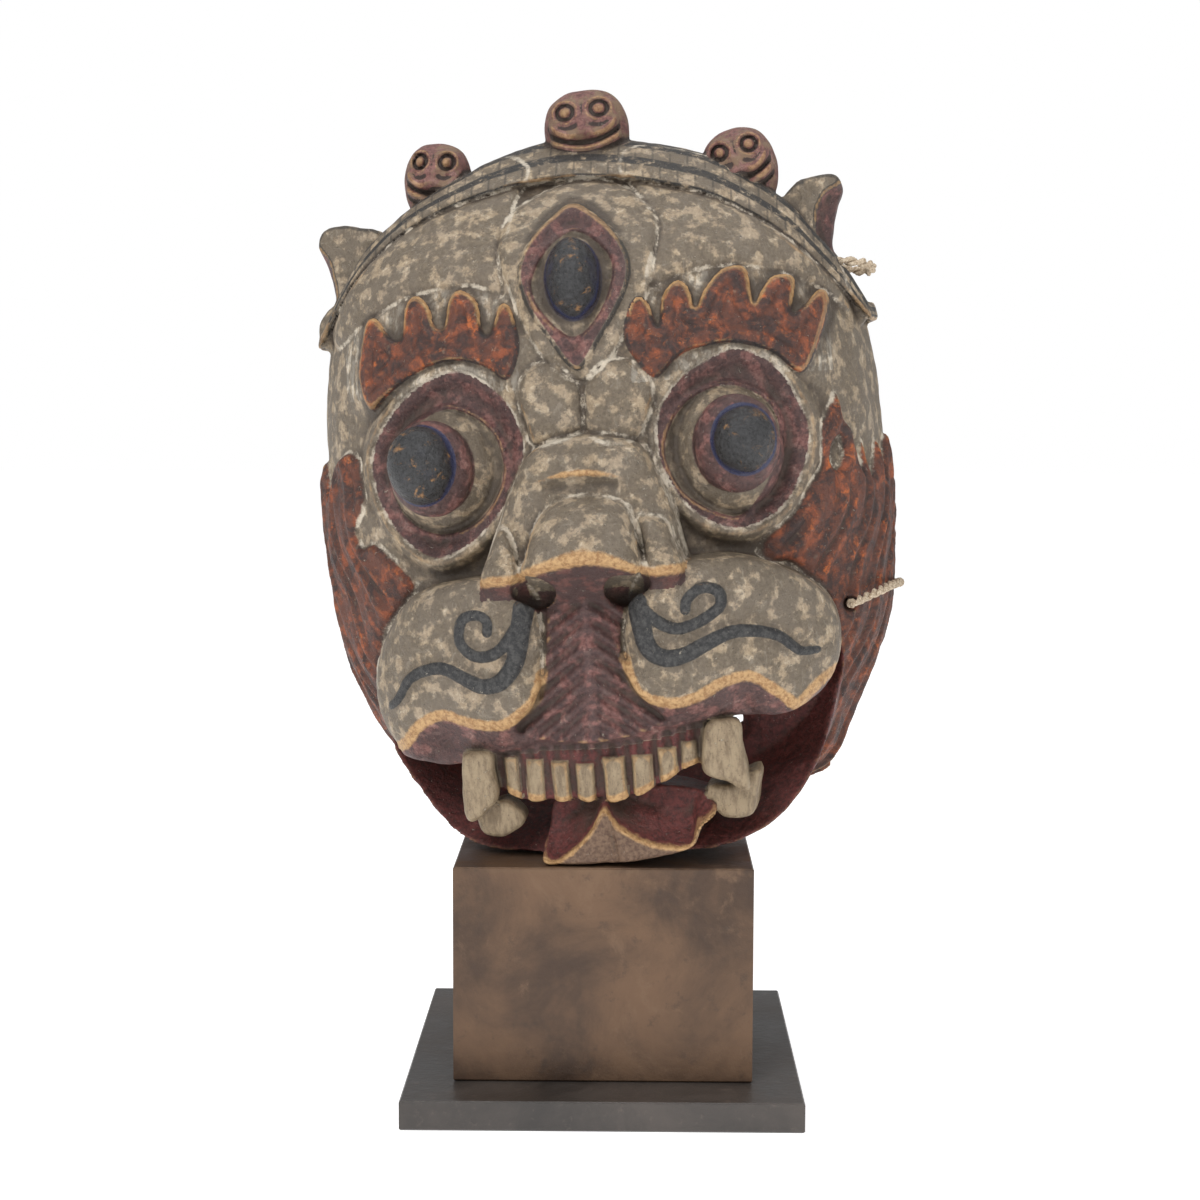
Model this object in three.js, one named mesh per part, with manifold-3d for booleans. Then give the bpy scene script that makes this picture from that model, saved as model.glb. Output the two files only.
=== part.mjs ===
// A wrathful dance mask of carved and painted wood, hollow and open behind, on a block and base plate.
// Millimetres, +Z up. The origin is the middle of the base plate's underside and the face looks along -Y.
// Inside the mask's own group X is the wearer's left-to-right as seen from the front, -Y is out of the face.
import * as THREE from 'three';
import { TessellateModifier } from 'three/addons/modifiers/TessellateModifier.js';
import { mergeVertices } from 'three/addons/utils/BufferGeometryUtils.js';
import Module from 'manifold-3d';

const wasm = await Module();
wasm.setup();

// --- driving dimensions ---
const gap = 0.3; // air between pieces that touch
const base = { width: 200, depth: 210, height: 15, bevel: 0.8 };
const block = { width: 151, depth: 146, height: 110, bevel: 0.8 };
const mask = { y: 80, z: 311.5, turn: -4.5, lean: 4 }; // where the back edge stands, and its pose in degrees
const dome = { halfWidth: 153, up: 185, down: 181, depth: 125, wall: 16, square: 2.7, round: 2.3 };
const rimCut = { from: -60, slope: 0.48 }; // below this height the back edge runs forward
const lobe = { height: 12 };
const brow = { height: 18, back: 6 };
const eye = { socketRise: 10, sclera: 24, iris: 36, pupil: 46 };
const muzzle = { front: -150, spread: 0.0028 };
const lip = { front: -168, spread: 0.0031 };
const jaw = { lipFront: -137, scoop: [106, 56, 66], scoopAt: [2, -134, -112] };
const tooth = { pitch: 13.2, width: 9, depth: 14, front: -151 };
const skull = { eyeSize: 0.17, proud: 16 };
const band = { height: 5 };
const post = { section: 12, foot: 40, footHeight: 4, bar: 90, y: 44 };
const cord = { radius: 2.6, clearance: 0.7 };

const halfTurn = Math.PI;
const degree = Math.PI / 180;
const clamp = THREE.MathUtils.clamp;
const smooth = THREE.MathUtils.smoothstep;

// --- turning geometry into solids and back ---
function solidOf(geometry) {
  const bare = geometry.index ? geometry.toNonIndexed() : geometry.clone();
  bare.deleteAttribute('normal');
  bare.deleteAttribute('uv');
  const merged = mergeVertices(bare, 1e-3);
  const corners = merged.index.array;
  const kept = [];
  for (let i = 0; i < corners.length; i += 3) {
    const [a, b, c] = corners.slice(i, i + 3);
    if (a !== b && b !== c && c !== a) kept.push(a, b, c);
  }
  const vertProperties = new Float32Array(merged.attributes.position.array);
  const solid = new wasm.Manifold(new wasm.Mesh({ numProp: 3, vertProperties, triVerts: new Uint32Array(kept) }));
  if (solid.volume() > 0) return solid;
  for (let i = 0; i < kept.length; i += 3) [kept[i], kept[i + 1]] = [kept[i + 1], kept[i]];
  return new wasm.Manifold(new wasm.Mesh({ numProp: 3, vertProperties, triVerts: new Uint32Array(kept) }));
}

function geometryOf(solid) {
  const { vertProperties, triVerts, numProp } = solid.getMesh();
  const positions = new Float32Array((vertProperties.length / numProp) * 3);
  for (let i = 0; i < positions.length / 3; i++) {
    for (let k = 0; k < 3; k++) positions[3 * i + k] = vertProperties[numProp * i + k];
  }
  const geometry = new THREE.BufferGeometry();
  geometry.setAttribute('position', new THREE.BufferAttribute(positions, 3));
  geometry.setIndex(new THREE.BufferAttribute(new Uint32Array(triVerts), 1));
  geometry.computeVertexNormals();
  return geometry;
}

// Sends every vertex of a geometry to a new place.
function moved(geometry, place) {
  const position = geometry.attributes.position;
  for (let i = 0; i < position.count; i++) {
    position.setXYZ(i, ...place(position.getX(i), position.getY(i), position.getZ(i)));
  }
  return geometry;
}

// --- the dome that everything is carved on ---
// 0 in the middle of the face, 1 at the back edge, for a point u across and w up.
function share(u, w, inset = 0) {
  const halfHeight = w > 0 ? dome.up : dome.down;
  const across = Math.abs(u) / (dome.halfWidth - inset);
  const upward = Math.abs(w) / (halfHeight - inset);
  return Math.min(1, (across ** dome.square + upward ** dome.square) ** (1 / dome.square));
}

function domeFront(u, w) {
  return -dome.depth * (1 - share(u, w) ** dome.round) ** (1 / dome.round);
}

// A dome closed by a flat back: the outside of the mask, or with an inset the hollow behind it.
function domeSolid(inset, back, around, rings) {
  const edge = Math.cos((90 / rings) * degree);
  return solidOf(moved(new THREE.SphereGeometry(1, around, rings), (x, y, z) => {
    const turn = Math.atan2(z, x);
    const out = Math.min(1, Math.hypot(x, z) / edge);
    const open = out ** (2 / dome.round);
    const depth = (1 - out ** 2) ** (1 / dome.round);
    const halfHeight = z > 0 ? dome.up : dome.down;
    const u = Math.sign(x) * Math.abs(Math.cos(turn)) ** (2 / dome.square) * (dome.halfWidth - inset);
    const w = Math.sign(z) * Math.abs(Math.sin(turn)) ** (2 / dome.square) * (halfHeight - inset);
    return [u * open, y < 0 ? -(dome.depth - inset) * depth : back, w * open];
  }));
}

// --- forms carved on the dome ---
const ring = (points) => new THREE.CatmullRomCurve3(points.map(([u, w]) => new THREE.Vector3(u, 0, w)), true);

// A cushion: a ball whose waist follows an outline, raised on the face by front(u, w, share of the way out).
function cushion({ outline, pole, front, around = 18, rings = 8, rear = (u, w) => domeFront(u, w) + 9,
  square = 3 }) {
  const waist = ring(outline);
  return solidOf(moved(new THREE.SphereGeometry(1, around, rings), (x, y, z) => {
    const out = Math.min(1, Math.hypot(x, z));
    const along = (Math.atan2(z, x) / (2 * halfTurn) + 1) % 1;
    const edge = waist.getPointAt(along);
    const reach = y < 0 ? out ** 0.8 : out;
    const u = pole[0] + (edge.x - pole[0]) * reach;
    const w = pole[1] + (edge.z - pole[1]) * reach;
    const floor = rear(u, w);
    if (y >= 0) return [u, floor, w];
    const full = Math.max(0, 1 - reach ** square) ** (1 / square);
    return [u, floor + (front(u, w, reach) - floor) * full, w];
  }));
}

// A ball or egg: radii across, out and up.
function egg([u, v, w], [across, out, up], around = 10, rings = 6) {
  return solidOf(moved(new THREE.SphereGeometry(1, around, rings), (x, y, z) => [
    u + x * across, v + y * out, w + z * up,
  ]));
}

// A strip between a lower and an upper edge, n steps long, that stands height above the dome.
function strip({ lower, upper, steps, height, back = 8, rows = 1, front = domeFront }) {
  return solidOf(moved(new THREE.BoxGeometry(1, 1, 1, steps, 1, rows), (x, y, z) => {
    const along = x + 0.5;
    const up = z + 0.5;
    const a = lower(along);
    const b = upper(along);
    const u = a[0] + (b[0] - a[0]) * up;
    const w = a[1] + (b[1] - a[1]) * up;
    const crown = 1 - 0.45 * (2 * up - 1) ** 2;
    return [u, y > 0 ? domeFront(u, w) + back : front(u, w) - height * crown, w];
  }));
}

const along = (points) => {
  const curve = new THREE.CatmullRomCurve3(points.map(([u, w]) => new THREE.Vector3(u, 0, w)));
  return (t) => {
    const p = curve.getPointAt(clamp(t, 0, 1));
    return [p.x, p.z];
  };
};

const corners = (points) => (t) => {
  const place = clamp(t, 0, 1) * (points.length - 1);
  const i = Math.min(points.length - 2, Math.floor(place));
  return points[i].map((value, k) => value + (points[i + 1][k] - value) * (place - i));
};

function block3(size, at, tilt = [0, 0, 0], taper = 1) {
  const box = moved(new THREE.BoxGeometry(...size), (x, y, z) => {
    const narrow = z < 0 ? taper : 1;
    return [x * narrow, y * narrow, z];
  });
  const turn = new THREE.Euler(...tilt.map((angle) => angle * degree));
  box.applyMatrix4(new THREE.Matrix4().makeRotationFromEuler(turn));
  return solidOf(box.translate(...at));
}

const joined = (solids) => solids.reduce((a, b) => a.add(b));
const mirrorU = (points) => points.map(([u, w]) => [-u, w]);

// --- forehead ---
function forehead() {
  const rise = (u, w) => domeFront(u, w) - lobe.height * (1 - 0.8 * smooth(w, 108, 168));
  const left = cushion({
    outline: [[-33, 136], [-20, 160], [-34, 170], [-62, 162], [-95, 147], [-116, 130], [-134, 100],
      [-118, 90], [-88, 106], [-60, 110], [-37, 103]],
    pole: [-72, 132], front: rise, square: 8, around: 20,
  });
  const right = cushion({
    outline: [[128, 98], [108, 130], [72, 153], [30, 166], [20, 158], [40, 140], [42, 120], [40, 102],
      [60, 109], [90, 110], [110, 105]],
    pole: [78, 130], front: rise, square: 8, around: 20,
  });
  const mound = cushion({
    outline: [[40, 118], [43, 138], [28, 156], [-6, 160], [-33, 146], [-38, 128], [-31, 100], [-18, 76],
      [2, 58], [22, 76], [38, 100]],
    pole: [2, 112], front: (u, w) => domeFront(u, w) - 15 + 10 * smooth(w, 120, 160), square: 5, around: 18,
  });
  return joined([left, right, mound]);
}

function thirdEye() {
  const almond = [[30, 115], [19, 136], [1, 148], [-16, 136], [-27, 115], [-16, 88], [1, 64], [18, 88]];
  const lid = cushion({
    outline: almond, pole: [1, 108], around: 16, square: 9,
    front: (u, w, out) => domeFront(1, 110) - 20 - 2 * out,
  });
  const ball = egg([0, -112, 106], [21, 21, 26]);
  const pupil = egg([1, -128, 110], [12, 18, 20]);
  return joined([lid, ball, pupil]);
}

// --- eyebrows, flame-edged along the top ---
function brows() {
  const left = strip({
    lower: along([[-130, 79], [-111, 52], [-89, 67], [-66, 73], [-46, 68], [-28, 58]]),
    upper: corners([[-131, 83], [-128, 84], [-113, 80], [-108, 97], [-93, 88], [-86, 105], [-67, 91], [-58, 107],
      [-44, 83], [-36, 98], [-29, 87], [-26, 70]]),
    steps: 22, height: brow.height,
  });
  const right = strip({
    lower: along([[32, 62], [39, 57], [59, 72], [77, 74], [95, 68], [115, 55], [122, 62]]),
    upper: corners([[25, 79], [33, 100], [42, 82], [54, 105], [62, 92], [76, 109], [87, 107], [90, 93],
      [103, 105], [109, 88], [124, 96], [127, 88]]),
    steps: 22, height: brow.height,
  });
  return left.add(right);
}

// --- eyes ---
function eyeball({ socket, at, scleraSize, irisAt, irisSize, pupilAt, pupilSize }) {
  const floor = domeFront(...at);
  const ringed = cushion({
    outline: socket, pole: at, around: 18, rings: 8, square: 10,
    front: (u, w, out) => domeFront(u, w) - eye.socketRise * (0.45 + 0.55 * smooth(out, 0.55, 0.95)),
  });
  const sclera = egg([at[0], floor + 2, at[1]], [scleraSize[0], eye.sclera, scleraSize[1]], 14, 6);
  const profile = [[0, 0], [1, 0], [1.06, 0.55], [0.98, 0.86], [0.8, 1], [0.72, 0.9], [0, 0.9]];
  const iris = new THREE.LatheGeometry(profile.map(([r, h]) => new THREE.Vector2(r, h)), 14);
  const irisSolid = solidOf(moved(iris, (x, y, z) => [
    irisAt[0] + x * irisSize[0], floor - y * eye.iris, irisAt[1] + z * irisSize[1],
  ]));
  const pupil = egg([pupilAt[0], floor - eye.pupil + 14, pupilAt[1]], [pupilSize[0], 14, pupilSize[1]], 10, 6);
  return joined([ringed, sclera, irisSolid, pupil]);
}

function eyes() {
  const left = eyeball({
    socket: [[-28, 27], [-38, 50], [-62, 67], [-90, 56], [-112, 26], [-104, -6], [-82, -28], [-52, -14]],
    at: [-71, 17], scleraSize: [30, 31], irisAt: [-77, 18], irisSize: [21, 24],
    pupilAt: [-80, 21], pupilSize: [16.5, 19.5],
  });
  const right = eyeball({
    socket: [[114, 22], [103, 53], [80, 69], [52, 58], [37, 32], [45, 2], [74, -21], [104, -8]],
    at: [72, 18], scleraSize: [29, 32], irisAt: [78, 22], irisSize: [21, 24],
    pupilAt: [82, 24], pupilSize: [15.5, 17],
  });
  return left.add(right);
}

// --- nose ---
function nose() {
  const lumps = egg([-15, -124, 49], [14, 15, 25]).add(egg([18, -124, 49], [15, 15, 25]));
  const bridge = cushion({
    outline: [[31, 12], [22, 30], [4, 35], [-20, 28], [-36, 6], [-45, -22], [-47, -45], [-28, -54],
      [0, -54], [30, -54], [48, -44], [45, -10]],
    pole: [0, -14], around: 18, rings: 8, square: 2.6,
    front: (u, w) => -174 + 0.013 * u * u + 0.62 * Math.max(0, w + 20),
  });
  const ball = egg([0, -158, -24], [30, 28, 25], 14, 8);
  const wings = egg([-36, -146, -33], [15, 20, 15]).add(egg([35, -146, -31], [15, 20, 15]));
  const under = block3([140, 60, 40], [0, -170, -61.5], [31, 0, 0]);
  const nostrils = egg([-25, -160, -46], [11, 16, 8]).add(egg([20, -160, -46], [11, 16, 8]));
  return { lumps, body: joined([bridge, ball, wings]).subtract(under).subtract(nostrils) };
}

// --- upper lip, with its two puffs, its groove and its moustaches ---
function upperLip() {
  const body = cushion({
    outline: [[122, -84], [112, -56], [60, -36], [0, -34], [-60, -36], [-104, -58], [-117, -90], [-100, -124],
      [-70, -131], [-35, -125], [0, -124], [35, -121], [68, -115], [105, -108]],
    pole: [2, -84], around: 18, rings: 6, square: 7,
    front: (u) => muzzle.front + muzzle.spread * u * u,
  });
  const puffFront = (u, w) => lip.front + lip.spread * u * u + 0.15 * Math.max(0, w + 60);
  const left = cushion({
    outline: [[-24, -66], [-22, -50], [-52, -33], [-86, -38], [-105, -55], [-117, -84], [-116, -110], [-104, -122],
      [-88, -109], [-66, -108], [-46, -110], [-29, -97]],
    pole: [-70, -72], around: 22, rings: 8, square: 4, front: puffFront,
  });
  const right = cushion({
    outline: [[126, -82], [118, -56], [100, -38], [76, -28], [46, -33], [20, -50], [18, -74], [24, -96], [44, -103],
      [70, -95], [88, -100], [101, -111], [115, -99]],
    pole: [74, -66], around: 22, rings: 8, square: 4, front: puffFront,
  });
  const groove = cushion({
    outline: [[24, -76], [20, -50], [-22, -50], [-26, -84], [-40, -112], [0, -120], [34, -112]],
    pole: [-1, -84], around: 14, rings: 6, square: 9, front: (u) => -158 + 0.32 * Math.min(16, Math.abs(u + 1)),
  });
  return { body: joined([body, left, right, groove]), puffFront };
}

function moustaches(puffFront) {
  // A tapering raised line along the points: half its width goes from wide to fine.
  const line = (points, wide, fine, steps) => {
    const route = new THREE.CatmullRomCurve3(points.map(([u, w]) => new THREE.Vector3(u, 0, w)));
    const edge = (side) => (t) => {
      const p = route.getPointAt(clamp(t, 0, 1));
      const way = route.getTangentAt(clamp(t, 0, 1));
      const half = (side * (wide + (fine - wide) * t)) / 2;
      return [p.x - way.z * half, p.z + way.x * half];
    };
    return strip({
      lower: edge(-1), upper: edge(1), steps, rows: 1, back: -10, height: 3,
      front: (u, w) => puffFront(u, w) + 4 * smooth(Math.abs(u), 60, 110),
    });
  };
  return joined([
    line([[25, -52], [30, -75], [48, -79], [71, -70], [94, -75], [112, -84]], 9, 4, 11),
    line([[29, -56], [46, -66], [66, -56], [57, -48], [49, -53]], 4.5, 4, 10),
    line([[-31, -52], [-37, -78], [-55, -90], [-74, -81], [-95, -87], [-107, -101]], 8, 4, 11),
    line([[-35, -61], [-51, -75], [-65, -67], [-58, -55], [-50, -61]], 4.5, 4, 10),
  ]);
}

// --- mouth ---
function teeth() {
  const gum = strip({
    lower: along([[-66, -146], [0, -147], [66, -136]]), upper: along([[-68, -122], [0, -118], [68, -110]]),
    steps: 8, height: 0, front: (u) => -144 + 0.0028 * u * u, back: -22, rows: 1,
  });
  const row = [];
  for (let i = 0; i < 8; i++) {
    const u = -44.5 + i * tooth.pitch;
    const tip = -150 + 0.0028 * (u - 2) ** 2 + 0.06 * (u + 44);
    const top = -118;
    row.push(block3([tooth.width, tooth.depth, top - tip], [u, tooth.front + tooth.depth / 2, (top + tip) / 2],
      [0, 0, 0], 0.9));
  }
  const canines = [
    block3([15, 20, 40], [-62, -136, -137], [6, 6, 0], 0.75),
    block3([17, 20, 42], [64, -136, -130], [6, -14, 0], 0.8),
  ];
  const fangs = [
    block3([22, 14, 24], [-52, -118, -160], [0, -14, 0], 1),
    block3([22, 14, 28], [67, -118, -150], [0, 18, 0], 1),
  ];
  return joined([gum, ...row, ...canines, ...fangs]);
}

function tongue() {
  const body = cushion({
    outline: [[54, -164], [44, -154], [2, -150], [-24, -155], [-31, -175], [-20, -182], [4, -183], [32, -181],
      [46, -174]],
    pole: [2, -168], around: 16, rings: 6, square: 5, rear: () => -115,
    front: (u, w) => -152 - 0.16 * Math.max(0, -160 - w) + 0.0035 * u * u,
  });
  const lobes = egg([-12, -158, -165], [11, 9, 12], 10, 6).add(egg([20, -158, -164], [14, 9, 10], 10, 6));
  return body.subtract(lobes);
}

function lowerJaw() {
  const body = cushion({
    outline: [[127, -98], [114, -141], [88, -171], [52, -183], [0, -183], [-40, -180], [-64, -177], [-88, -165],
      [-108, -140], [-122, -104], [-100, -70], [0, -60], [104, -66]],
    pole: [2, -124], around: 22, rings: 8, square: 7,
    front: (u, w) => jaw.lipFront + 0.0022 * u * u - 8 * smooth(w, -170, -110),
  });
  return body;
}

const mouthScoop = () => egg(jaw.scoopAt, jaw.scoop, 18, 10);
const mouthHole = () => egg([6, -80, -132], [78, 26, 17], 10, 6);

// --- crown: band and skulls ---
function crownBand() {
  const lower = along([[-116, 131], [-94, 147], [-60, 160], [-31, 168], [4, 170], [34, 166], [69, 153], [106, 133]]);
  const middle = along([[-117, 134], [-96, 151], [-60, 165], [-36, 174], [4, 177], [40, 172], [68, 162], [105, 139]]);
  const upper = along([[-118, 137], [-98, 158], [-61, 170], [-34, 181], [3, 183.5], [46, 177], [65, 172], [103, 146]]);
  const front = (u, w) => Math.min(-18, domeFront(u, w));
  return strip({ lower, upper: middle, steps: 22, height: band.height, rows: 1, front })
    .add(strip({ lower: middle, upper, steps: 22, height: band.height + 3, rows: 1, front }));
}

function skullHead([u, v, w], [across, up]) {
  const head = egg([u, v, w], [across, skull.proud, up], 10, 6);
  const size = across * skull.eyeSize;
  const features = [];
  for (const side of [-1, 1]) {
    const at = [u + side * across * 0.36, v - skull.proud * 0.8, w + up * 0.38];
    features.push(egg(at, [size * 1.5, size * 1.2, size * 1.5], 6, 4));
  }
  const chin = egg([u, v - skull.proud * 0.72, w - up * 0.5], [across * 0.55, size * 1.6, up * 0.16], 8, 4);
  const mouth = egg([u, v - skull.proud * 1.05, w - up * 0.24], [across * 0.62, size * 1.3, up * 0.1], 8, 4);
  return joined([head, ...features, chin]).subtract(mouth);
}

function skulls() {
  return joined([
    skullHead([5.5, -46, 188.5], [22.5, 22.5]),
    skullHead([-77, -46, 168], [18, 22]),
    skullHead([86, -46, 163], [20, 22]),
  ]);
}

// --- ears, leaf-shaped and standing off the sides of the head ---
function ear({ outline, thick, place }) {
  const leaf = new THREE.Shape(outline.map(([x, y]) => new THREE.Vector2(x, y)));
  const slab = new THREE.ExtrudeGeometry(leaf, { depth: thick, bevelEnabled: false, curveSegments: 6 });
  const fine = new TessellateModifier(24, 6).modify(slab);
  return solidOf(moved(fine, place));
}

function ears() {
  const right = ear({
    outline: [[100, 140], [110, 153], [122, 159], [134, 160], [140, 153], [138, 143], [134, 131], [137, 117],
      [144, 100], [149, 84], [145, 76], [136, 82], [124, 104], [112, 124]],
    thick: 10,
    place: (x, y, z) => [x, -34 + z + 0.35 * Math.max(0, y - 118) * 0.6 + Math.max(0, 128 - x) * -0.3, y],
  });
  const left = ear({
    outline: [[-110, 148], [-130, 151], [-144, 151], [-149, 144], [-146, 134], [-144, 120], [-147, 108],
      [-153, 98], [-151, 86], [-140, 84], [-128, 100], [-112, 128]],
    thick: 10,
    place: (x, y, z) => [x, -30 + z + Math.max(0, x + 124) * -0.4, y],
  });
  return right.add(left);
}

// --- flame-edged hair down the sides of the jaw, from an inner line to the back edge ---
function sideFlames() {
  // Distance along the side is given as a turn about the upright axis: 90 degrees is the back edge.
  const onSide = (turn, w, lift) => {
    const halfHeight = w > 0 ? dome.up : dome.down;
    const width = (1 - (Math.abs(w) / halfHeight) ** dome.square) ** (1 / dome.square) * dome.halfWidth;
    const u = width * Math.sin(turn * degree);
    const v = domeFront(u, w);
    const grow = 1 + lift / Math.hypot(u, v);
    return [u * grow, v * grow, w];
  };
  const flame = (side, inner, outer, lift) => solidOf(moved(new THREE.BoxGeometry(1, 1, 1, 2, 1, 14), (x, y, z) => {
    const t = z + 0.5;
    const [turnA, wA] = inner(t);
    const [turnB, wB] = outer(t);
    const turn = turnA + (turnB - turnA) * (x + 0.5);
    const w = wA + (wB - wA) * (x + 0.5);
    const [u, v, up] = onSide(turn, w, y < 0 ? lift : -7);
    return [side * u, v, up];
  }));
  const right = flame(1,
    corners([[50, -172], [58, -150], [60, -128], [63, -104], [58, -84], [48, -60], [38, -38], [44, -20], [54, -4],
      [62, 10], [56, 24], [62, 44], [68, 22]]),
    corners([[80, -168], [84, -140], [86, -110], [86, -82], [86, -60], [86, -36], [86, -18], [86, -8], [86, 2],
      [86, 10], [84, 14], [74, 30], [76, 20]]), 5);
  const left = flame(-1,
    corners([[60, -112], [62, -84], [52, -58], [50, -44], [60, -30], [68, -14], [64, 4], [66, 22], [72, 30]]),
    corners([[86, -108], [86, -82], [86, -60], [86, -44], [86, -30], [86, -14], [86, 2], [84, 14], [78, 26]]), 5);
  return right.add(left);
}

// --- fibre ties, closed loops through a hole and round the edge ---
function loop(points, radius, steps) {
  const route = new THREE.CatmullRomCurve3(points.map((p) => new THREE.Vector3(...p)), true);
  return new THREE.TubeGeometry(route, steps, radius, 6, true);
}

const jawTie = [[142, -56, -67], [153, -34, -67], [158, -10, -67], [152, 8, -68], [140, 6, -69], [134, -14, -70],
  [130, -38, -70], [132, -52, -69]];
const earTie = [[130, -40, 112], [138, -44, 112], [148, -40, 111], [154, -28, 108], [150, -14, 107], [138, -12, 110],
  [128, -22, 112]];

// --- the whole mask ---
function maskSolid() {
  const noseParts = nose();
  const { body, puffFront } = upperLip();
  const jawed = domeSolid(0, 0, 28, 11).add(lowerJaw()).subtract(mouthScoop()).subtract(mouthHole());
  const whole = joined([jawed, forehead(), thirdEye(), brows(), eyes(), noseParts.lumps, noseParts.body, body,
    moustaches(puffFront), teeth(), crownBand(), skulls(), ears(), sideFlames(), tongue()]);
  const behind = new THREE.BoxGeometry(400, 200, 300).translate(0, 100, -150);
  const cut = solidOf(behind.rotateX(-Math.atan(rimCut.slope)).translate(0, 0, rimCut.from));
  return whole.subtract(domeSolid(dome.wall, 40, 24, 11)).subtract(cut);
}

const material = (color, roughness, metalness = 0) => new THREE.MeshStandardMaterial({ color, roughness, metalness });
const materials = {
  wood: material('#7a6a52', 0.6),
  block: material('#4a3323', 0.4),
  base: material('#2e2723', 0.45),
  steel: material('#1c1c1d', 0.5, 0.6),
  fibre: material('#b9a583', 0.9),
};

const group = new THREE.Group();
const face = new THREE.Group();
face.position.set(0, mask.y, mask.z);
face.rotation.set(0, -mask.lean * degree, mask.turn * degree, 'ZYX');
group.add(face);

function add(parent, name, geometry, finish) {
  const mesh = new THREE.Mesh(geometry, finish);
  mesh.name = name;
  parent.add(mesh);
  return mesh;
}

let carvedMask = maskSolid();
for (const tie of [jawTie, earTie]) {
  carvedMask = carvedMask.subtract(solidOf(loop(tie, cord.radius + cord.clearance, 18)));
}
add(face, 'mask', geometryOf(carvedMask.decompose().sort((a, b) => b.volume() - a.volume())[0]), materials.wood);
add(face, 'cord_jaw', loop(jawTie, cord.radius, 18), materials.fibre);
add(face, 'cord_ear', loop(earTie, cord.radius, 18), materials.fibre);

// --- stand ---
const slabOf = (width, depth, height, bevel) => {
  const shape = new THREE.Shape();
  shape.moveTo(-width / 2 + bevel, -depth / 2 + bevel);
  shape.lineTo(width / 2 - bevel, -depth / 2 + bevel);
  shape.lineTo(width / 2 - bevel, depth / 2 - bevel);
  shape.lineTo(-width / 2 + bevel, depth / 2 - bevel);
  shape.closePath();
  const options = { depth: height - 2 * bevel, bevelThickness: bevel, bevelSize: bevel, bevelSegments: 1 };
  return new THREE.ExtrudeGeometry(shape, options).translate(0, 0, bevel);
};
add(group, 'base_plate', slabOf(base.width, base.depth, base.height, base.bevel), materials.base);
const blockHeight = block.height - gap;
add(group, 'plinth_block', slabOf(block.width, block.depth, blockHeight, block.bevel)
  .translate(0, 0, base.height + gap), materials.block);

const blockTop = base.height + block.height;
const barHeight = 452;
const footing = solidOf(new THREE.CylinderGeometry(post.foot / 2, post.foot / 2, post.footHeight, 24)
  .rotateX(halfTurn / 2).translate(0, post.y, blockTop + gap + post.footHeight / 2));
const upright = solidOf(new THREE.BoxGeometry(post.section, post.section, barHeight - blockTop - gap)
  .translate(0, post.y, (barHeight + blockTop + gap) / 2));
const bar = solidOf(new THREE.BoxGeometry(post.bar, post.section, post.section)
  .translate(0, post.y, barHeight - post.section / 2));
add(group, 'support_post', geometryOf(joined([footing, upright, bar])), materials.steel);

export default group;
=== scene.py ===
import math

import bmesh
import bpy
import numpy as np
from mathutils import Matrix, Vector


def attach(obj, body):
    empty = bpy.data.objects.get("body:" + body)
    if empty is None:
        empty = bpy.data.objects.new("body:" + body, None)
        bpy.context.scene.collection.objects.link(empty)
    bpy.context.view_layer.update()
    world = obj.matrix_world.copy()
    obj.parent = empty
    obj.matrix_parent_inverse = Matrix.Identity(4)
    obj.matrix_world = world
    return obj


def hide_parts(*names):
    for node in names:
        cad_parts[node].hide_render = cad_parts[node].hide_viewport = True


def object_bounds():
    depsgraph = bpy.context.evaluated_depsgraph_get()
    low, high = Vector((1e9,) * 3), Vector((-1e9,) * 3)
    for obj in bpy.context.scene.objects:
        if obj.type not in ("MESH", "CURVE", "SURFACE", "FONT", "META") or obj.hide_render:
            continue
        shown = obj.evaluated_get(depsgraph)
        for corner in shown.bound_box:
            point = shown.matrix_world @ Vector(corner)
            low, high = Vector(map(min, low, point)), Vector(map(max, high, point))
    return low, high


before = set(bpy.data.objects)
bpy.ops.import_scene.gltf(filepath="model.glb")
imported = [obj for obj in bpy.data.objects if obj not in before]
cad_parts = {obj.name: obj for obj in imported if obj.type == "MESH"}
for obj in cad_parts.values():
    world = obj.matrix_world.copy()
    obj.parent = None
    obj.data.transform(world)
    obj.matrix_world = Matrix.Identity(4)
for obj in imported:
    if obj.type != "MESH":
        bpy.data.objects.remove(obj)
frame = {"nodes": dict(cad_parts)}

startLow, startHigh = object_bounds()
mm = 0.001  # the carving below is worked out in millimetres, then brought to metres


# camera, light and floor

view = {"lens": 68.3, "place": (0.013, -1.195, 0.368), "turn": -0.77, "pitch": -5.5, "roll": 0.18}


def makeCamera():
    data = bpy.data.cameras.new("camera")
    data.lens, data.sensor_width = view["lens"], 36.0
    data.clip_start, data.clip_end = 0.05, 30.0
    camera = bpy.data.objects.new("camera", data)
    turn, pitch, roll = (math.radians(view[k]) for k in ("turn", "pitch", "roll"))
    ahead = Vector((math.sin(turn) * math.cos(pitch), math.cos(turn) * math.cos(pitch), math.sin(pitch)))
    level = Vector((math.cos(turn), -math.sin(turn), 0))
    up = level.cross(ahead)
    right = level * math.cos(roll) + up * math.sin(roll)
    up = right.cross(ahead)
    axes = Matrix((right, up, -ahead)).transposed().to_4x4()
    camera.matrix_world = Matrix.Translation(view["place"]) @ axes
    bpy.context.collection.objects.link(camera)
    bpy.context.scene.camera = camera


lamps = {
    "key": {"place": (-0.75, -1.5, 1.75), "size": 0.9, "power": 26},
    "fill": {"place": (1.5, -1.2, 0.9), "size": 1.4, "power": 7},
    "top": {"place": (0.1, 0.1, 2.0), "size": 1.0, "power": 10},
}
studio = {"light": 0.42, "backdrop": 1.0}


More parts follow.
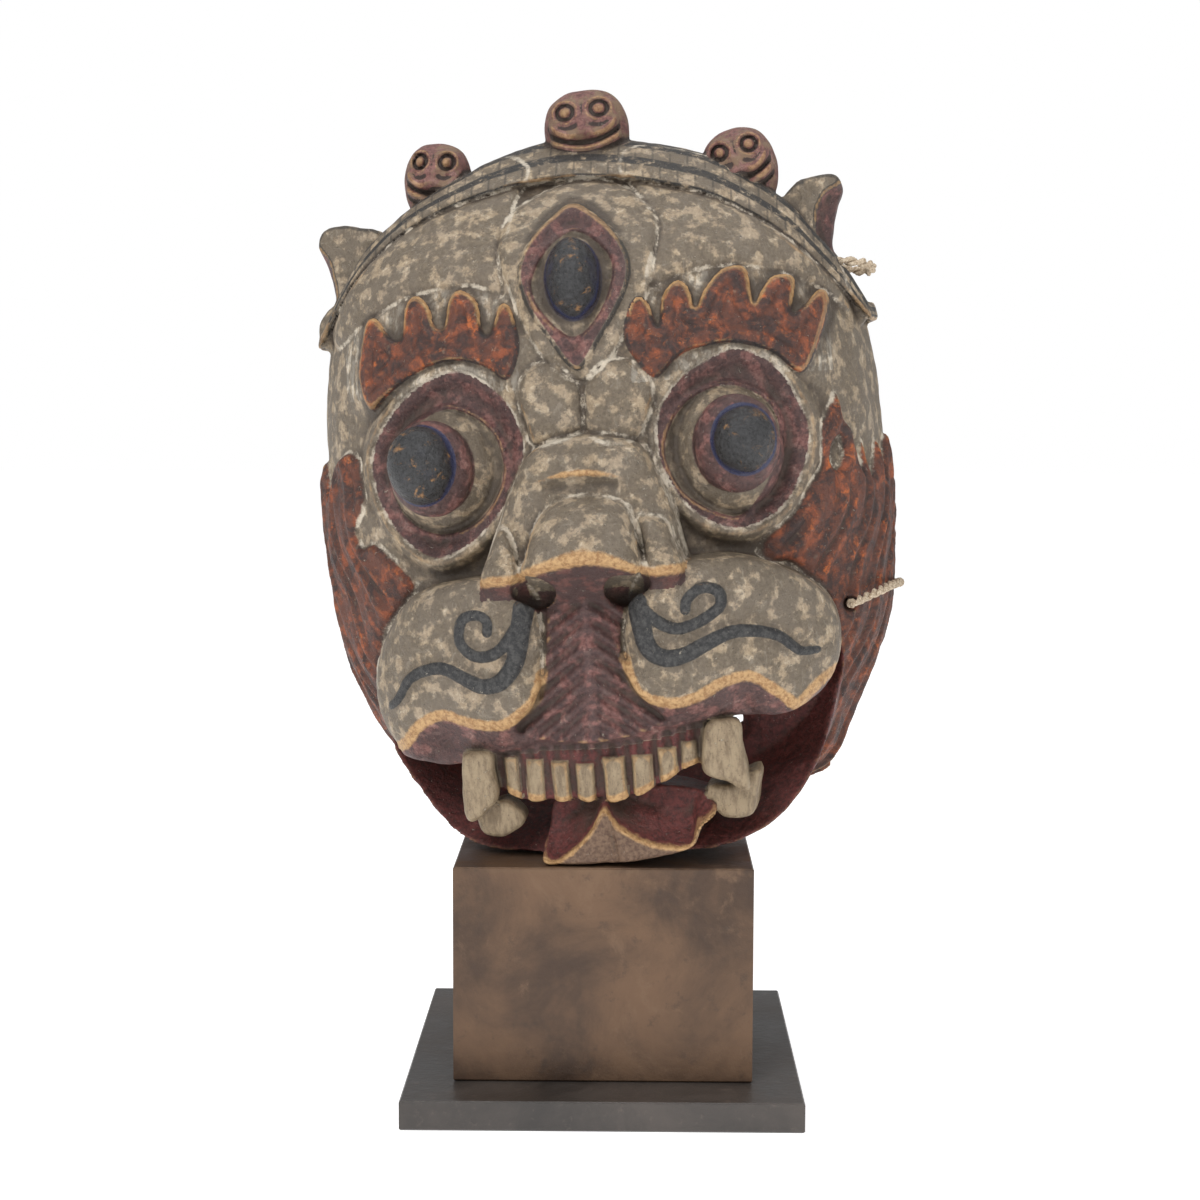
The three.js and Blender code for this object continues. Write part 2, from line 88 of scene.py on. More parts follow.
def makeLamp(name, place, size, power):
    data = bpy.data.lights.new(name, "AREA")
    data.energy, data.size = power, size
    lamp = bpy.data.objects.new(name, data)
    lamp.location = place
    lamp.rotation_euler = (Vector((0, 0, 0.3)) - Vector(place)).to_track_quat("-Z", "Y").to_euler()
    bpy.context.collection.objects.link(lamp)


def makeStage():
    # white all round, while the light that the object gets from it is softer
    world = bpy.data.worlds.new("studio")
    world.use_nodes = True
    tree = world.node_tree
    back = tree.nodes["Background"]
    back.inputs[0].default_value = (1.0, 1.0, 1.0, 1.0)
    back.inputs[1].default_value = studio["light"]
    seen = tree.nodes.new("ShaderNodeBackground")
    seen.inputs[0].default_value = (1.0, 1.0, 1.0, 1.0)
    seen.inputs[1].default_value = studio["backdrop"]
    path, mix = tree.nodes.new("ShaderNodeLightPath"), tree.nodes.new("ShaderNodeMixShader")
    tree.links.new(path.outputs["Is Camera Ray"], mix.inputs[0])
    tree.links.new(back.outputs[0], mix.inputs[1])
    tree.links.new(seen.outputs[0], mix.inputs[2])
    tree.links.new(mix.outputs[0], tree.nodes["World Output"].inputs[0])
    bpy.context.scene.world = world
    bpy.context.scene.view_settings.view_transform = "Standard"
    bpy.ops.mesh.primitive_plane_add(size=14, location=(0, 1, startLow.z - 0.0002))
    floor = bpy.context.object
    floor.name = "floor"
    paint = bpy.data.materials.new("floorPaper")
    paint.use_nodes = True
    shader = paint.node_tree.nodes["Principled BSDF"]
    shader.inputs["Base Color"].default_value = (0.95, 0.95, 0.95, 1)
    shader.inputs["Roughness"].default_value = 0.8
    shader.inputs["Emission Color"].default_value = (1, 1, 1, 1)
    shader.inputs["Emission Strength"].default_value = 0.62
    floor.data.materials.append(paint)


makeCamera()
for name, lamp in lamps.items():
    makeLamp(name, **lamp)
makeStage()
print("camera, lamps and floor are set")


# curves and flat maps, in millimetres across the face (u) and up it (w)

def spline(points, closed=False, steps=8):
    # a smooth line through the points
    p = np.array(points, float)
    n = len(p)
    lanes = range(n if closed else n - 1)
    out = []
    for i in lanes:
        if closed:
            a, b, c, d = p[i - 1], p[i], p[(i + 1) % n], p[(i + 2) % n]
        else:
            a, b, c, d = p[max(i - 1, 0)], p[i], p[i + 1], p[min(i + 2, n - 1)]
        t = np.arange(steps)[:, None] / steps
        out.append(0.5 * (2 * b + (c - a) * t + (2 * a - 5 * b + 4 * c - d) * t ** 2
                          + (3 * b - a - 3 * c + d) * t ** 3))
    if not closed:
        out.append(p[-1:])
    return np.concatenate(out)


def lineDistance(line, u, w, widths=None):
    # distance to a line; with widths, how far inside a line of that half width
    best = np.full(np.broadcast(u, w).shape, 1e6)
    for i in range(len(line) - 1):
        a, b = line[i], line[i + 1]
        run = b - a
        size = max(run @ run, 1e-9)
        t = np.clip(((u - a[0]) * run[0] + (w - a[1]) * run[1]) / size, 0, 1)
        d = np.hypot(u - a[0] - t * run[0], w - a[1] - t * run[1])
        if widths is not None:
            d = d - (widths[i] * (1 - t) + widths[i + 1] * t)
        best = np.minimum(best, d)
    return best if widths is None else -best


def insideDistance(outline, u, w):
    # above zero inside a closed outline, below zero outside it
    ring = np.vstack([outline, outline[:1]])
    best = lineDistance(ring, u, w)
    inside = np.zeros(best.shape, bool)
    for (ax, ay), (bx, by) in zip(ring[:-1], ring[1:]):
        if ay == by:
            continue
        crosses = (ay > w) != (by > w)
        inside ^= crosses & (u < (bx - ax) * (w - ay) / (by - ay) + ax)
    return np.where(inside, best, -best)


def ramp(x, low, high):
    t = np.clip((x - low) / (high - low), 0, 1)
    return t * t * (3 - 2 * t)


def bell(x, width):
    return np.exp(-(x / width) ** 2)


def softMin(a, b, k):
    h = np.clip(0.5 + 0.5 * (b - a) / k, 0, 1)
    return b + (a - b) * h - k * h * (1 - h)


def softMax(a, b, k):
    return -softMin(-a, -b, k)


flat = {"low": (-170, -196), "high": (170, 216), "step": 1.0}
mapU = np.arange(flat["low"][0], flat["high"][0] + 1, flat["step"])[:, None]
mapW = np.arange(flat["low"][1], flat["high"][1] + 1, flat["step"])[None, :]


def sample(sheetMap, u, w):
    # reads a flat map between its points
    x = np.clip((u - flat["low"][0]) / flat["step"], 0, sheetMap.shape[0] - 1.001)
    y = np.clip((w - flat["low"][1]) / flat["step"], 0, sheetMap.shape[1] - 1.001)
    i, j = x.astype(int), y.astype(int)
    x, y = x - i, y - j
    return ((sheetMap[i, j] * (1 - x) + sheetMap[i + 1, j] * x) * (1 - y)
            + (sheetMap[i, j + 1] * (1 - x) + sheetMap[i + 1, j + 1] * x) * y)


def along(points, u):
    # height of an open line over a place across the face
    line = spline(points, False, 5)
    return np.interp(u, line[:, 0], line[:, 1])


# the dome that the face is carved on

dome = {"halfWidth": 153.0, "up": 185.0, "down": 181.0, "depth": 125.0,
        "wall": 16.0, "square": 2.7, "round": 2.3}
pose = {"back": 80.0, "height": 310.0, "turn": -4.5, "lean": 4.0}
rimCut = {"from": -60.0, "slope": 0.48}
sideScale = 1.8  # side maps count 1.8 mm for each degree round the head


def domeSize(u, v, w, inset=0.0):
    # 1 on the dome, less inside it
    halfHeight = np.where(w > 0, dome["up"], dome["down"]) - inset
    across = np.abs(u) / (dome["halfWidth"] - inset)
    out = (across ** dome["square"] + (np.abs(w) / halfHeight) ** dome["square"]) ** (1 / dome["square"])
    behind = (np.abs(v) / (dome["depth"] - inset)) ** dome["round"]
    return (out ** dome["round"] + behind) ** (1 / dome["round"])


def sideway(u, v, w):
    # how far round the head a point on it is: 0 in front, 162 at the back edge, less than 0 on the left
    halfHeight = np.where(w > 0, dome["up"], dome["down"])
    share = np.maximum(1 - np.minimum(np.abs(w) / halfHeight, 0.995) ** dome["square"], 1e-3)
    width = dome["halfWidth"] * share ** (1 / dome["square"])
    return sideScale * np.degrees(np.arctan2(u / width, np.maximum(-v, 0) / dome["depth"]))


# outlines of the carving

lines = {
    "lobeLeft": [(-33, 136), (-31, 152), (-24, 170), (-40, 180), (-66, 176), (-98, 160), (-122, 140),
                 (-142, 108), (-136, 84), (-112, 96), (-88, 106), (-64, 110), (-49, 109), (-36, 103),
                 (-37, 116), (-38, 128)],
    "lobeRight": [(140, 86), (132, 122), (110, 148), (74, 170), (34, 180), (24, 168), (33, 152),
                  (43, 138), (42, 124), (38, 110), (39, 102), (54, 108), (72, 111), (90, 110),
                  (108, 105), (127, 96)],
    "mound": [(43, 138), (33, 152), (18, 161), (0, 163), (-16, 157), (-32, 146), (-38, 130), (-36, 116),
              (-31, 102), (-24, 84), (-12, 66), (2, 58), (16, 66), (28, 84), (38, 100), (42, 122)],
    "almond": [(30, 115), (24, 130), (13, 142), (1, 149), (-10, 142), (-21, 130), (-27, 115), (-24, 99),
               (-14, 82), (1, 63), (15, 80), (27, 100)],
    "thirdSclera": [(21, 114), (13, 127), (1, 133), (-12, 124), (-20, 107), (-13, 91), (1, 80), (15, 93)],
    "browLeft": [(-117, 65), (-116, 78), (-112, 94), (-108, 98), (-103, 95), (-99, 89), (-94, 85),
                 (-90, 87), (-88, 102), (-82, 107), (-75, 101), (-72, 91), (-67, 90), (-64, 103),
                 (-58, 108), (-49, 101), (-47, 87), (-43, 85), (-37, 99), (-31, 95), (-28, 76),
                 (-35, 61), (-46, 68), (-59, 72), (-73, 71), (-88, 65), (-100, 57), (-111, 50)],
    "browRight": [(29, 68), (25, 79), (28, 92), (33, 98), (38, 94), (42, 83), (45, 98), (52, 105),
                  (58, 101), (61, 91), (66, 100), (76, 110), (87, 109), (90, 92), (95, 99), (101, 105),
                  (111, 103), (109, 86), (115, 89), (123, 97), (128, 94), (126, 81), (113, 55), (98, 66),
                  (79, 72), (59, 70), (49, 65), (39, 57)],
    "lumpLeft": [(-29, 59), (-30, 49), (-28, 38), (-25, 28), (-14, 28), (1, 33), (2, 44), (1, 56),
                 (-8, 66), (-20, 68)],
    "lumpRight": [(4, 56), (3.5, 44), (3, 34), (10, 28), (19, 26), (29, 28), (34, 36), (38, 47),
                  (36, 59), (26, 67), (13, 66)],
    "socketLeft": [(-29, 29), (-35, 47), (-47, 60), (-63, 67), (-82, 61), (-98, 48), (-111, 28),
                   (-110, 6), (-98, -15), (-80, -27), (-61, -21), (-44, -6), (-33, 12)],
    "scleraLeft": [(-41, 21), (-48, 38), (-68, 48), (-88, 38), (-100, 16), (-96, -4), (-78, -15),
                   (-57, -10), (-44, 5)],
    "socketRight": [(114, 24), (108, 44), (98, 60), (80, 69), (61, 62), (46, 50), (38, 31), (42, 8),
                    (56, -12), (75, -21), (95, -15), (108, 2)],
    "scleraRight": [(99, 26), (92, 43), (73, 51), (52, 42), (42, 22), (48, 2), (62, -10), (78, -14),
                    (93, 4)],
    "puffLeft": [(-24, -60), (-30, -40), (-54, -31), (-86, -38), (-102, -52), (-113, -70), (-118, -92),
                 (-116, -112), (-107, -124), (-100, -120), (-94, -113), (-87, -108), (-77, -105),
                 (-67, -108), (-57, -110), (-46, -110), (-37, -105), (-29, -98), (-25, -86)],
    "puffRight": [(18, -62), (26, -40), (47, -32), (77, -27), (101, -39), (116, -52), (124, -68),
                  (126, -84), (121, -96), (112, -101), (105, -107), (100, -111), (95, -106), (89, -101),
                  (83, -96), (76, -93), (64, -95), (54, -100), (42, -103), (31, -101), (22, -95),
                  (17, -80)],
    "muzzle": [(124, -86), (116, -56), (76, -34), (30, -36), (-28, -36), (-84, -42), (-110, -66),
               (-119, -94), (-110, -124), (-92, -131), (-72, -133), (-52, -127), (-27, -124), (0, -124),
               (27, -121), (48, -117), (68, -115), (92, -115), (112, -106)],
    "philtrum": [(20, -48), (17, -66), (17, -82), (23, -97), (36, -113), (20, -121), (-1, -123),
                 (-24, -122), (-41, -114), (-30, -98), (-25, -79), (-22, -58), (-20, -46)],
    "jaw": [(125, -92), (122, -112), (116, -132), (105, -152), (92, -167), (76, -177), (56, -183),
            (20, -184), (-10, -183.5), (-38, -181.5), (-60, -178), (-78, -171), (-92, -160),
            (-106, -142), (-116, -124), (-122, -104), (-112, -86), (-60, -70), (0, -66), (64, -68),
            (112, -76)],
    "canineLeft": [(-55, -126), (-54, -134), (-53, -147), (-58, -154), (-66, -160), (-70, -155),
                   (-70, -130), (-66, -125)],
    "canineRight": [(70, -116), (72, -128), (75, -150), (70, -151), (64, -147), (52, -142), (51, -131),
                    (55, -116)],
    "fangLeft": [(-64, -158), (-52, -151), (-44, -156), (-41, -162), (-46, -167), (-54, -170), (-63, -167)],
    "fangRight": [(53, -150), (66, -148), (80, -142), (79, -153), (75, -166), (62, -167), (56, -161)],
    "tongue": [(-31, -180), (-24, -182.5), (0, -183.5), (14, -183), (33, -180), (44, -177), (50, -167),
               (58, -158), (40, -150), (2, -146), (-22, -150), (-28, -164)],
    "noseSide": [(5, 32), (-23, 26), (-36, 8), (-43, -10), (-49, -24), (-53, -37), (-50, -47),
                 (-24, -53), (18, -53), (42, -47), (50, -37), (48, -22), (45, -7), (40, 7), (30, 26)],
    "ball": [(-30, -37), (-28, -26), (-24, -14), (-18, -4), (-10, 1), (4, 2), (16, 0), (24, -5),
             (27, -15), (29, -26), (30, -37), (2, -40)],
    "wingLeft": [(-32, -37), (-33, -25), (-37, -14), (-42, -12), (-47, -22), (-53, -37), (-42, -42)],
    "wingRight": [(31, -37), (30, -24), (28, -10), (35, -10), (42, -13), (46, -24), (50, -37), (40, -42)],
    "earRight": [(100, 136), (105, 144), (111, 152), (118, 157), (134, 159), (139, 152), (136, 143),
                 (133, 130), (133, 119), (140, 108), (144, 94), (148, 82), (142, 79), (132, 92),
                 (120, 106), (108, 118)],
    "earPink": [(141, 153), (135, 152), (128, 147), (124, 136), (125, 122), (134, 111), (142, 110),
                (140, 140)],
    "earLeft": [(-110, 144), (-122, 149), (-132, 151), (-142, 149), (-146, 141), (-143, 132),
                (-140, 121), (-139, 110), (-144, 105), (-149, 99), (-149, 90), (-143, 84), (-132, 96),
                (-118, 122)],
    "earSliver": [(-150, 140), (-144, 137), (-140, 130), (-138, 113), (-142, 110), (-150, 120)],
}
sideLines = {  # round the head, in side-map millimetres
    "flameRight": [(84, 27), (89, 33), (94, 39), (97, 43), (98, 31), (103, 24), (105, 14), (107, 4),
                   (110, 2), (112, 17), (115, 3), (118, -2), (122, 6), (127, 17), (130, 4), (136, -4),
                   (142, 12), (148, 20), (151, 6), (157, -4), (164, 10), (169, 6), (169, -194),
                   (106, -194), (104, -150), (100, -120), (97, -95), (94, -75), (91, -69), (85, -57),
                   (77, -49), (70, -41), (60, -39), (59, -31), (62, -25), (70, -15), (73, -8), (78, 0),
                   (84, 7), (83, 16)],
    "flameHole": [(88, 8), (88.5, 13), (91, 19), (96, 21), (97, 13), (94, 6), (90, 4)],
    "flameLeft": [(-89, 25), (-87, 18), (-85, 10), (-86, -1), (-91, -12), (-87, -22), (-79, -20),
                  (-71, -29), (-65, -41), (-69, -48), (-77, -57), (-89, -71), (-97, -90), (-104, -120),
                  (-108, -150), (-110, -194), (-169, -194), (-169, 8), (-160, -6), (-152, 16), (-147, 2),
                  (-139, -8), (-131, 14), (-124, 24), (-119, 6), (-113, 14), (-106, 23), (-97, 28)],
}
golden = {  # worn edges of the two lips
    "left": [(-107, -124), (-100, -120), (-94, -113), (-87, -108), (-77, -105), (-67, -108), (-57, -110),
             (-46, -110), (-37, -105), (-29, -98), (-25, -86)],
    "right": [(121, -96), (112, -101), (105, -107), (100, -111), (95, -106), (89, -101), (83, -96),
              (76, -93), (64, -95), (54, -100), (42, -103), (31, -101), (22, -95), (17, -80)],
}
lipTops = {
    "left": [(-107, -124), (-116, -112), (-118, -92), (-113, -70), (-102, -52), (-86, -38), (-54, -31),
             (-30, -40), (-24, -60), (-25, -86)],
    "right": [(121, -96), (126, -84), (124, -68), (116, -52), (101, -39), (77, -27), (47, -32),
              (26, -40), (18, -62), (17, -80)],
}
moustache = {
    "right": ([(25, -52), (27, -64), (30, -75), (38, -80), (48, -79), (59, -74), (71, -70), (83, -71),
               (94, -75), (103, -83), (112, -84)], (5.4, 2.0)),
    "rightCurl": ([(29, -56), (37, -63), (46, -66), (58, -62), (66, -56), (65, -49), (57, -47),
                   (50, -52), (49, -57)], (3.1, 2.6)),
    "left": ([(-31, -52), (-33, -61), (-37, -78), (-45, -88), (-55, -90), (-64, -86), (-74, -81),
              (-85, -82), (-95, -87), (-102, -97), (-107, -101)], (5.2, 2.0)),
    "leftCurl": ([(-35, -61), (-43, -71), (-51, -75), (-59, -74), (-65, -67), (-63, -57), (-56, -54),
                  (-50, -57), (-50, -63)], (3.1, 2.6)),
}
bandLow = [(-150, 84), (-135, 102), (-120, 119), (-100, 136), (-80, 147), (-58, 155), (-30, 161),
           (0, 163), (29, 160), (50, 155), (70, 149), (95, 135), (115, 119), (135, 98), (150, 80)]
bandTop = [(-150, 88), (-134, 110), (-122, 126), (-111, 139), (-90, 155), (-61, 169), (-45, 177),
           (-19, 184.5), (3, 186), (28, 182), (46, 178), (68, 171), (90, 158), (110, 143), (122, 128),
           (136, 110), (150, 86)]


def place(points):
    return insideDistance(spline(points, True, 6), mapU, mapW)


area = {name: place(points) for name, points in lines.items()}
side = {name: place(points) for name, points in sideLines.items()}
side["flame"] = np.maximum(np.minimum(side["flameRight"], -side["flameHole"]), side["flameLeft"])
gold = np.minimum(*[lineDistance(spline(points), mapU, mapW) for points in golden.values()])
lipTop = np.minimum(*[lineDistance(spline(points), mapU, mapW) for points in lipTops.values()])
area["moustache"] = np.full(np.broadcast(mapU, mapW).shape, -50.0)
for points, (wide, fine) in moustache.values():
    line = spline(points, False, 4)
    widths = np.linspace(wide, fine, len(line))
    area["moustache"] = np.maximum(area["moustache"], lineDistance(line, mapU, mapW, widths))
bandFoot = along(bandLow, mapU[:, 0])[:, None]
bandHead = along(bandTop, mapU[:, 0])[:, None]
bandShare = (mapW - bandFoot) / np.maximum(bandHead - bandFoot, 6)
print("flat outlines are drawn")


# relief over the dome, as heights

def step(distance, height, width):
    # a rounded step up, from nothing at the outline to its height a width inside it
    t = np.clip(distance / width, 0, 1)
    return height * np.sqrt(1 - (1 - t) ** 2)


def reliefMap():
    u, w = mapU, mapW
    # the wood between the brows, the mound and the nose is high, so the cuts between them are shallow
    lift = 10.5 * ramp(np.abs(u), 138, 108) * ramp(w, 40, 62) * ramp(w, 150, 118)
    lift = np.maximum(lift, 13 * ramp(np.abs(u - 2), 62, 34) * ramp(w, -20, 20) * ramp(w, 160, 130))
    # forehead: two rolls and the mound between them, up to the band
    foot = bandFoot - w
    roll = 4 + 9.5 * bell(w - 116, 30) * ramp(np.abs(u), 150, 112)
    for name in ("lobeLeft", "lobeRight"):
        lift = np.where(area[name] > 0, np.maximum(np.minimum(lift, roll - 3), 0)
                        + (roll - np.maximum(np.minimum(lift, roll - 3), 0)) * step(area[name], 1, 6), lift)
    hill = 18.5 - 11 * ramp(w, 116, 164)
    lift = np.where(area["mound"] > 0, lift + np.maximum(hill - lift, 0) * step(area["mound"], 1, 9), lift)
    lift = lift * np.where(foot > 0, 0.45 + 0.55 * step(foot, 1, 5), 0)
    lift = np.where(foot <= 0, 3.5 + 5.5 * step(-foot, 1, 4), lift)
    # the lid of the third eye slopes in to the eyeball
    almond = area["almond"]
    lid = 22 - 3.5 * ramp(almond, 2, 12) + 2.4 * bell(area["thirdSclera"] + 1.5, 1.5)
    lift = np.where(almond > 0, lift + (lid - lift) * step(almond, 1, 2.5), lift)
    # two lumps over the nose
    for name in ("lumpLeft", "lumpRight"):
        lift = np.where(area[name] > 0, np.maximum(lift, 12 + 8.5 * step(area[name], 1, 11)), lift)
    # cheeks
    lift = lift + 6 * bell(np.hypot((np.abs(u) - 108) / 30, (w + 12) / 26), 1.0)
    # eye sockets: a pale raised rim, then the dark ring falling in to the eyeball
    for way in ("Left", "Right"):
        ring = area["socket" + way]
        white = area["sclera" + way]
        rim = 11.0 * bell(ring + 2.5, 5.0)
        bowl = 8.5 - 6.5 * ramp(ring, 0, 11) + 3.2 * bell(white + 1.4, 1.5)
        around = softMax(lift * ramp(-ring, 0, 6), rim, 2)
        lift = np.where(ring > -1.0, np.maximum(bowl, rim * (ring < 1)), around)
    # brows stand over the sockets, with round tips
    for way in ("Left", "Right"):
        brow = area["brow" + way]
        body = 15.5 + 1.2 * ramp(w, 80, 104) + 0.9 * np.cos(brow * 1.15) * ramp(brow, 2, 5)
        lift = np.where(brow > 0, lift + np.maximum(body - lift, 0) * step(brow, 1, 3.2), lift)
    # lower right, where the head swells out beside the jaw
    lift = lift + 13 * bell(np.hypot((u - 116) / 26, (w + 160) / 24), 1.0)
    return lift


relief = reliefMap()


def flameRelief():
    s, w = mapU, mapW
    lean = 0.9 * 1.39 * np.abs(s) - 0.45 * w + 3.5 * np.sin(w / 10.0)
    ridges = 0.9 * np.cos(lean * (2 * math.pi / 13.0)) + 0.7 * np.cos(lean * (2 * math.pi / 8.3) + w / 14)
    return step(side["flame"], 1, 4.0) * (4.6 + ridges * ramp(side["flame"], 1, 6))


flames = flameRelief()


def muzzleFront():
    u, w = mapU, mapW
    base = -149 + 0.0028 * (u - 3) ** 2
    puff = np.maximum(area["puffLeft"], area["puffRight"])
    full = 19 - 0.0004 * (u - 3) ** 2
    rise = full * np.sqrt(1 - (1 - np.clip(lipTop / 22, 0, 1)) ** 2)
    inward = 0.84 + 0.16 * ramp(gold, 0, 10)
    outward = 0.84 * np.clip(1 - gold / 17, 0, 1)
    under = (puff <= 0) & (gold <= lipTop + 0.6)
    front = base - np.where(puff > 0, rise * inward, np.where(under, rise * outward, 0))
    front = front - step(area["moustache"], 2.4, 1.4) * (puff > -2)
    # the groove under the nose, with its pairs of slanting ridges
    inner = area["philtrum"]
    chevron = w + 0.75 * np.abs(u + 1)
    herring = -1.7 * np.cos(chevron * (2 * math.pi / 9.0)) * ramp(np.abs(u + 1), 0.3, 3)
    groove = base - 9 + 0.34 * np.minimum(np.abs(u + 1), 16) + herring
    return np.where(inner > 0, front + (groove - front) * ramp(inner, 0, 2.5), front)


muzzle = muzzleFront()


def jawFront():
    u, w = mapU, mapW
    rim = -137 + 0.0026 * (u - 2) ** 2 + 0.32 * np.maximum(w + 165, 0)
    depth = 60 * (1 - (1 - np.clip(area["jaw"] / 56, 0, 1)) ** 2.2)
    return np.minimum(rim + depth, -70)


jaw = jawFront()
noseEdge = [(-54, -38), (-42, -37), (-31, -36), (-28, -34), (-18, -31), (-7, -29), (2, -28), (12, -29),
            (22, -32), (30, -36), (40, -36), (51, -36)]


def noseFront():
    u, w = mapU, mapW
    reach = np.maximum(area["noseSide"], 0)
    bridge = -139 - 18 * np.sqrt(1 - (1 - np.clip(reach / 22, 0, 1)) ** 2)
    wide = ramp(np.abs(u - 1), 24, 15)
    bridge = bridge - (3.2 * bell(w - 13 + 0.008 * u * u, 2.4) - 2.2 * bell(w - 5.5, 3.2)) * wide
    bridge = bridge - 1.6 * bell(w - 21, 3) * wide
    profile = np.interp(w, [-40, -33, -27, -20, -12, -4, 2], [-186, -187, -187, -183, -177, -168, -160])
    profile = profile + 0.012 * (u - 1) ** 2
    bulge = np.minimum(profile - bridge, 0) * step(area["ball"], 1, 7)
    top = np.where(area["ball"] > 0, bridge + bulge, bridge)
    for name, lean in (("wingLeft", 0.36), ("wingRight", 0.30)):
        wing = -173 + 0.45 * np.maximum(w + 36, 0) + lean * np.maximum(np.abs(u) - 34, 0)
        top = np.where(area[name] > 0, top + np.minimum(wing - top, 0) * step(area[name], 1, 6), top)
    edge = along(noseEdge, mapU[:, 0])[:, None]
    front = sample(top, u, np.maximum(w, edge)) + 1.35 * np.maximum(edge - w, 0)
    return front


nose = noseFront()
print("relief maps are ready")


# the solid of the mask as a field of distances, below zero inside the wood

grid = {"step": 1.3, "low": (-166, -196, -188), "high": (166, 4, 216)}
axisU, axisV, axisW = (np.arange(a, b + grid["step"], grid["step"], dtype=np.float32)
                       for a, b in zip(grid["low"], grid["high"]))
U, V, W = axisU[:, None, None], axisV[None, :, None], axisW[None, None, :]


def window(low, high):
    # the part of the field inside a box
    cuts = []
    for axis, a, b in zip((axisU, axisV, axisW), low, high):
        cuts.append(slice(max(int(np.searchsorted(axis, a)) - 1, 0), int(np.searchsorted(axis, b)) + 1))
    i, j, k = cuts
    return (i, j, k), U[i], V[:, j], W[:, :, k]


def slopeOf(front):
    du, dw = np.gradient(front, flat["step"])
    return 1 / np.sqrt(1 + du ** 2 + dw ** 2)


def domeField(inset=0.0):
    size = domeSize(U, V, W, inset).astype(np.float32)
    a, b, c = np.gradient(size, grid["step"])
    return (size - 1) / np.maximum(np.sqrt(a * a + b * b + c * c), 1e-4)


def join(field, low, high, shape, soft=1.5):
    at, u, v, w = window(low, high)
    field[at] = softMin(field[at], shape(u, v, w), soft)


def carve(field, low, high, shape, soft=1.5):
    at, u, v, w = window(low, high)
    field[at] = softMax(field[at], -shape(u, v, w), soft)


def egg(centre, radii, tilt=(0, 0, 0)):
    aboutU, aboutV, aboutW = (Matrix.Rotation(math.radians(a), 3, axis) for a, axis in zip(tilt, "XYZ"))
    turn = np.array(aboutW @ aboutV @ aboutU)

    def shape(u, v, w):
        p = [u - centre[0], v - centre[1], w - centre[2]]
        q = [sum(turn[m, k] * p[m] for m in range(3)) for k in range(3)]
        near = np.sqrt(sum((q[k] / radii[k]) ** 2 for k in range(3)))
        steep = np.sqrt(sum((q[k] / radii[k] ** 2) ** 2 for k in range(3)))
        return near * (near - 1) / np.maximum(steep, 1e-6)

    reach = max(radii) + 8
    return [c - reach for c in centre], [c + reach for c in centre], shape


def relieved(frontMap, edgeMap, steepMap, corner):
    # a form with a front drawn as a map, cut off at an outline
    def shape(u, v, w):
        face = (sample(frontMap, u, w) - v) * sample(steepMap, u, w)
        return softMax(face, -sample(edgeMap, u, w), corner)

    return shape


def slab(name, front, back, roundness, lean=0.0):
    # an outline cut through the thickness between front and back, leaning forward as it goes down
    points = np.array(lines[name], float)
    low = [points[:, 0].min() - 6, front - 14, points[:, 1].min() - 6]
    high = [points[:, 0].max() + 6, back + 6, points[:, 1].max() + 6]
    top = points[:, 1].max()

    def shape(u, v, w):
        face = (front + (w - top) * lean) - v
        return softMax(softMax(-sample(area[name], u, w), face, roundness), v - back, roundness)

    return low, high, shape


noseShape = relieved(nose, area["noseSide"], slopeOf(nose), 3.0)
lipShape = relieved(muzzle, area["muzzle"], slopeOf(muzzle), 5)
jawSteep = np.maximum(slopeOf(jaw), 0.35)


def faceField():
    field = domeField()
    field -= (sample(relief, U, W) * 0.93).astype(np.float32)
    for low, high in (((56, -150, -190), (166, 4, 50)), ((-166, -150, -190), (-56, 4, 50))):
        at, u, v, w = window(low, high)
        field[at] -= (sample(flames, sideway(u, v, w), w) * 0.93).astype(np.float32)
    join(field, (-64, -196, -62), (64, -104, 44), noseShape, 2.0)
    # jaw: the dome is scooped out, then the lip is left standing round the scoop
    jawLow, jawHigh = (-132, -160, -188), (134, -20, -60)

    def scoop(u, v, w):
        face = (sample(jaw, u, w) - v) * sample(jawSteep, u, w)
        return softMax(-face, -sample(area["jaw"], u, w), 2)

    def lip(u, v, w):
        face = (sample(jaw, u, w) - v) * sample(jawSteep, u, w)
        return softMax(softMax(face, -sample(area["jaw"], u, w), 2.5), v + 40, 2)

    carve(field, jawLow, jawHigh, scoop, 1.0)
    join(field, jawLow, jawHigh, lip, 1.0)
    carve(field, *egg((6, -84, -130), (76, 34, 18)), 3.0)
    join(field, (-130, -185, -138), (134, -90, -24), lipShape, 2.5)
    for u in (-25, 20.5):
        carve(field, *egg((u, -158, -44.5), (12.5, 17, 6.2), (-30, 0, 0)), 1.6)
    carve(field, *egg((131, -82, -67), (5, 16, 4.5)), 1.0)
    return field


eyeParts = {
    "sclera": [((-71, -108, 17), (30.5, 27, 32)), ((71, -108, 18.5), (29.5, 27, 33.5)),
               ((0.5, -112, 106), (19, 23, 25))],
    "iris": [((-77, -133, 18.5), (21.5, 13, 24.5)), ((78, -133, 22), (21.5, 13, 24.5))],
    "pupil": [((-80, -142, 21), (16.5, 16, 19.5)), ((82, -142, 24), (15.5, 16, 17.0)),
              ((1, -128, 109), (13.5, 18, 21))],
}


def eyeballs(field):
    for soft, name in ((1.0, "sclera"), (0.6, "iris"), (0.5, "pupil")):
        for at, radii in eyeParts[name]:
            join(field, *egg(at, radii), soft)


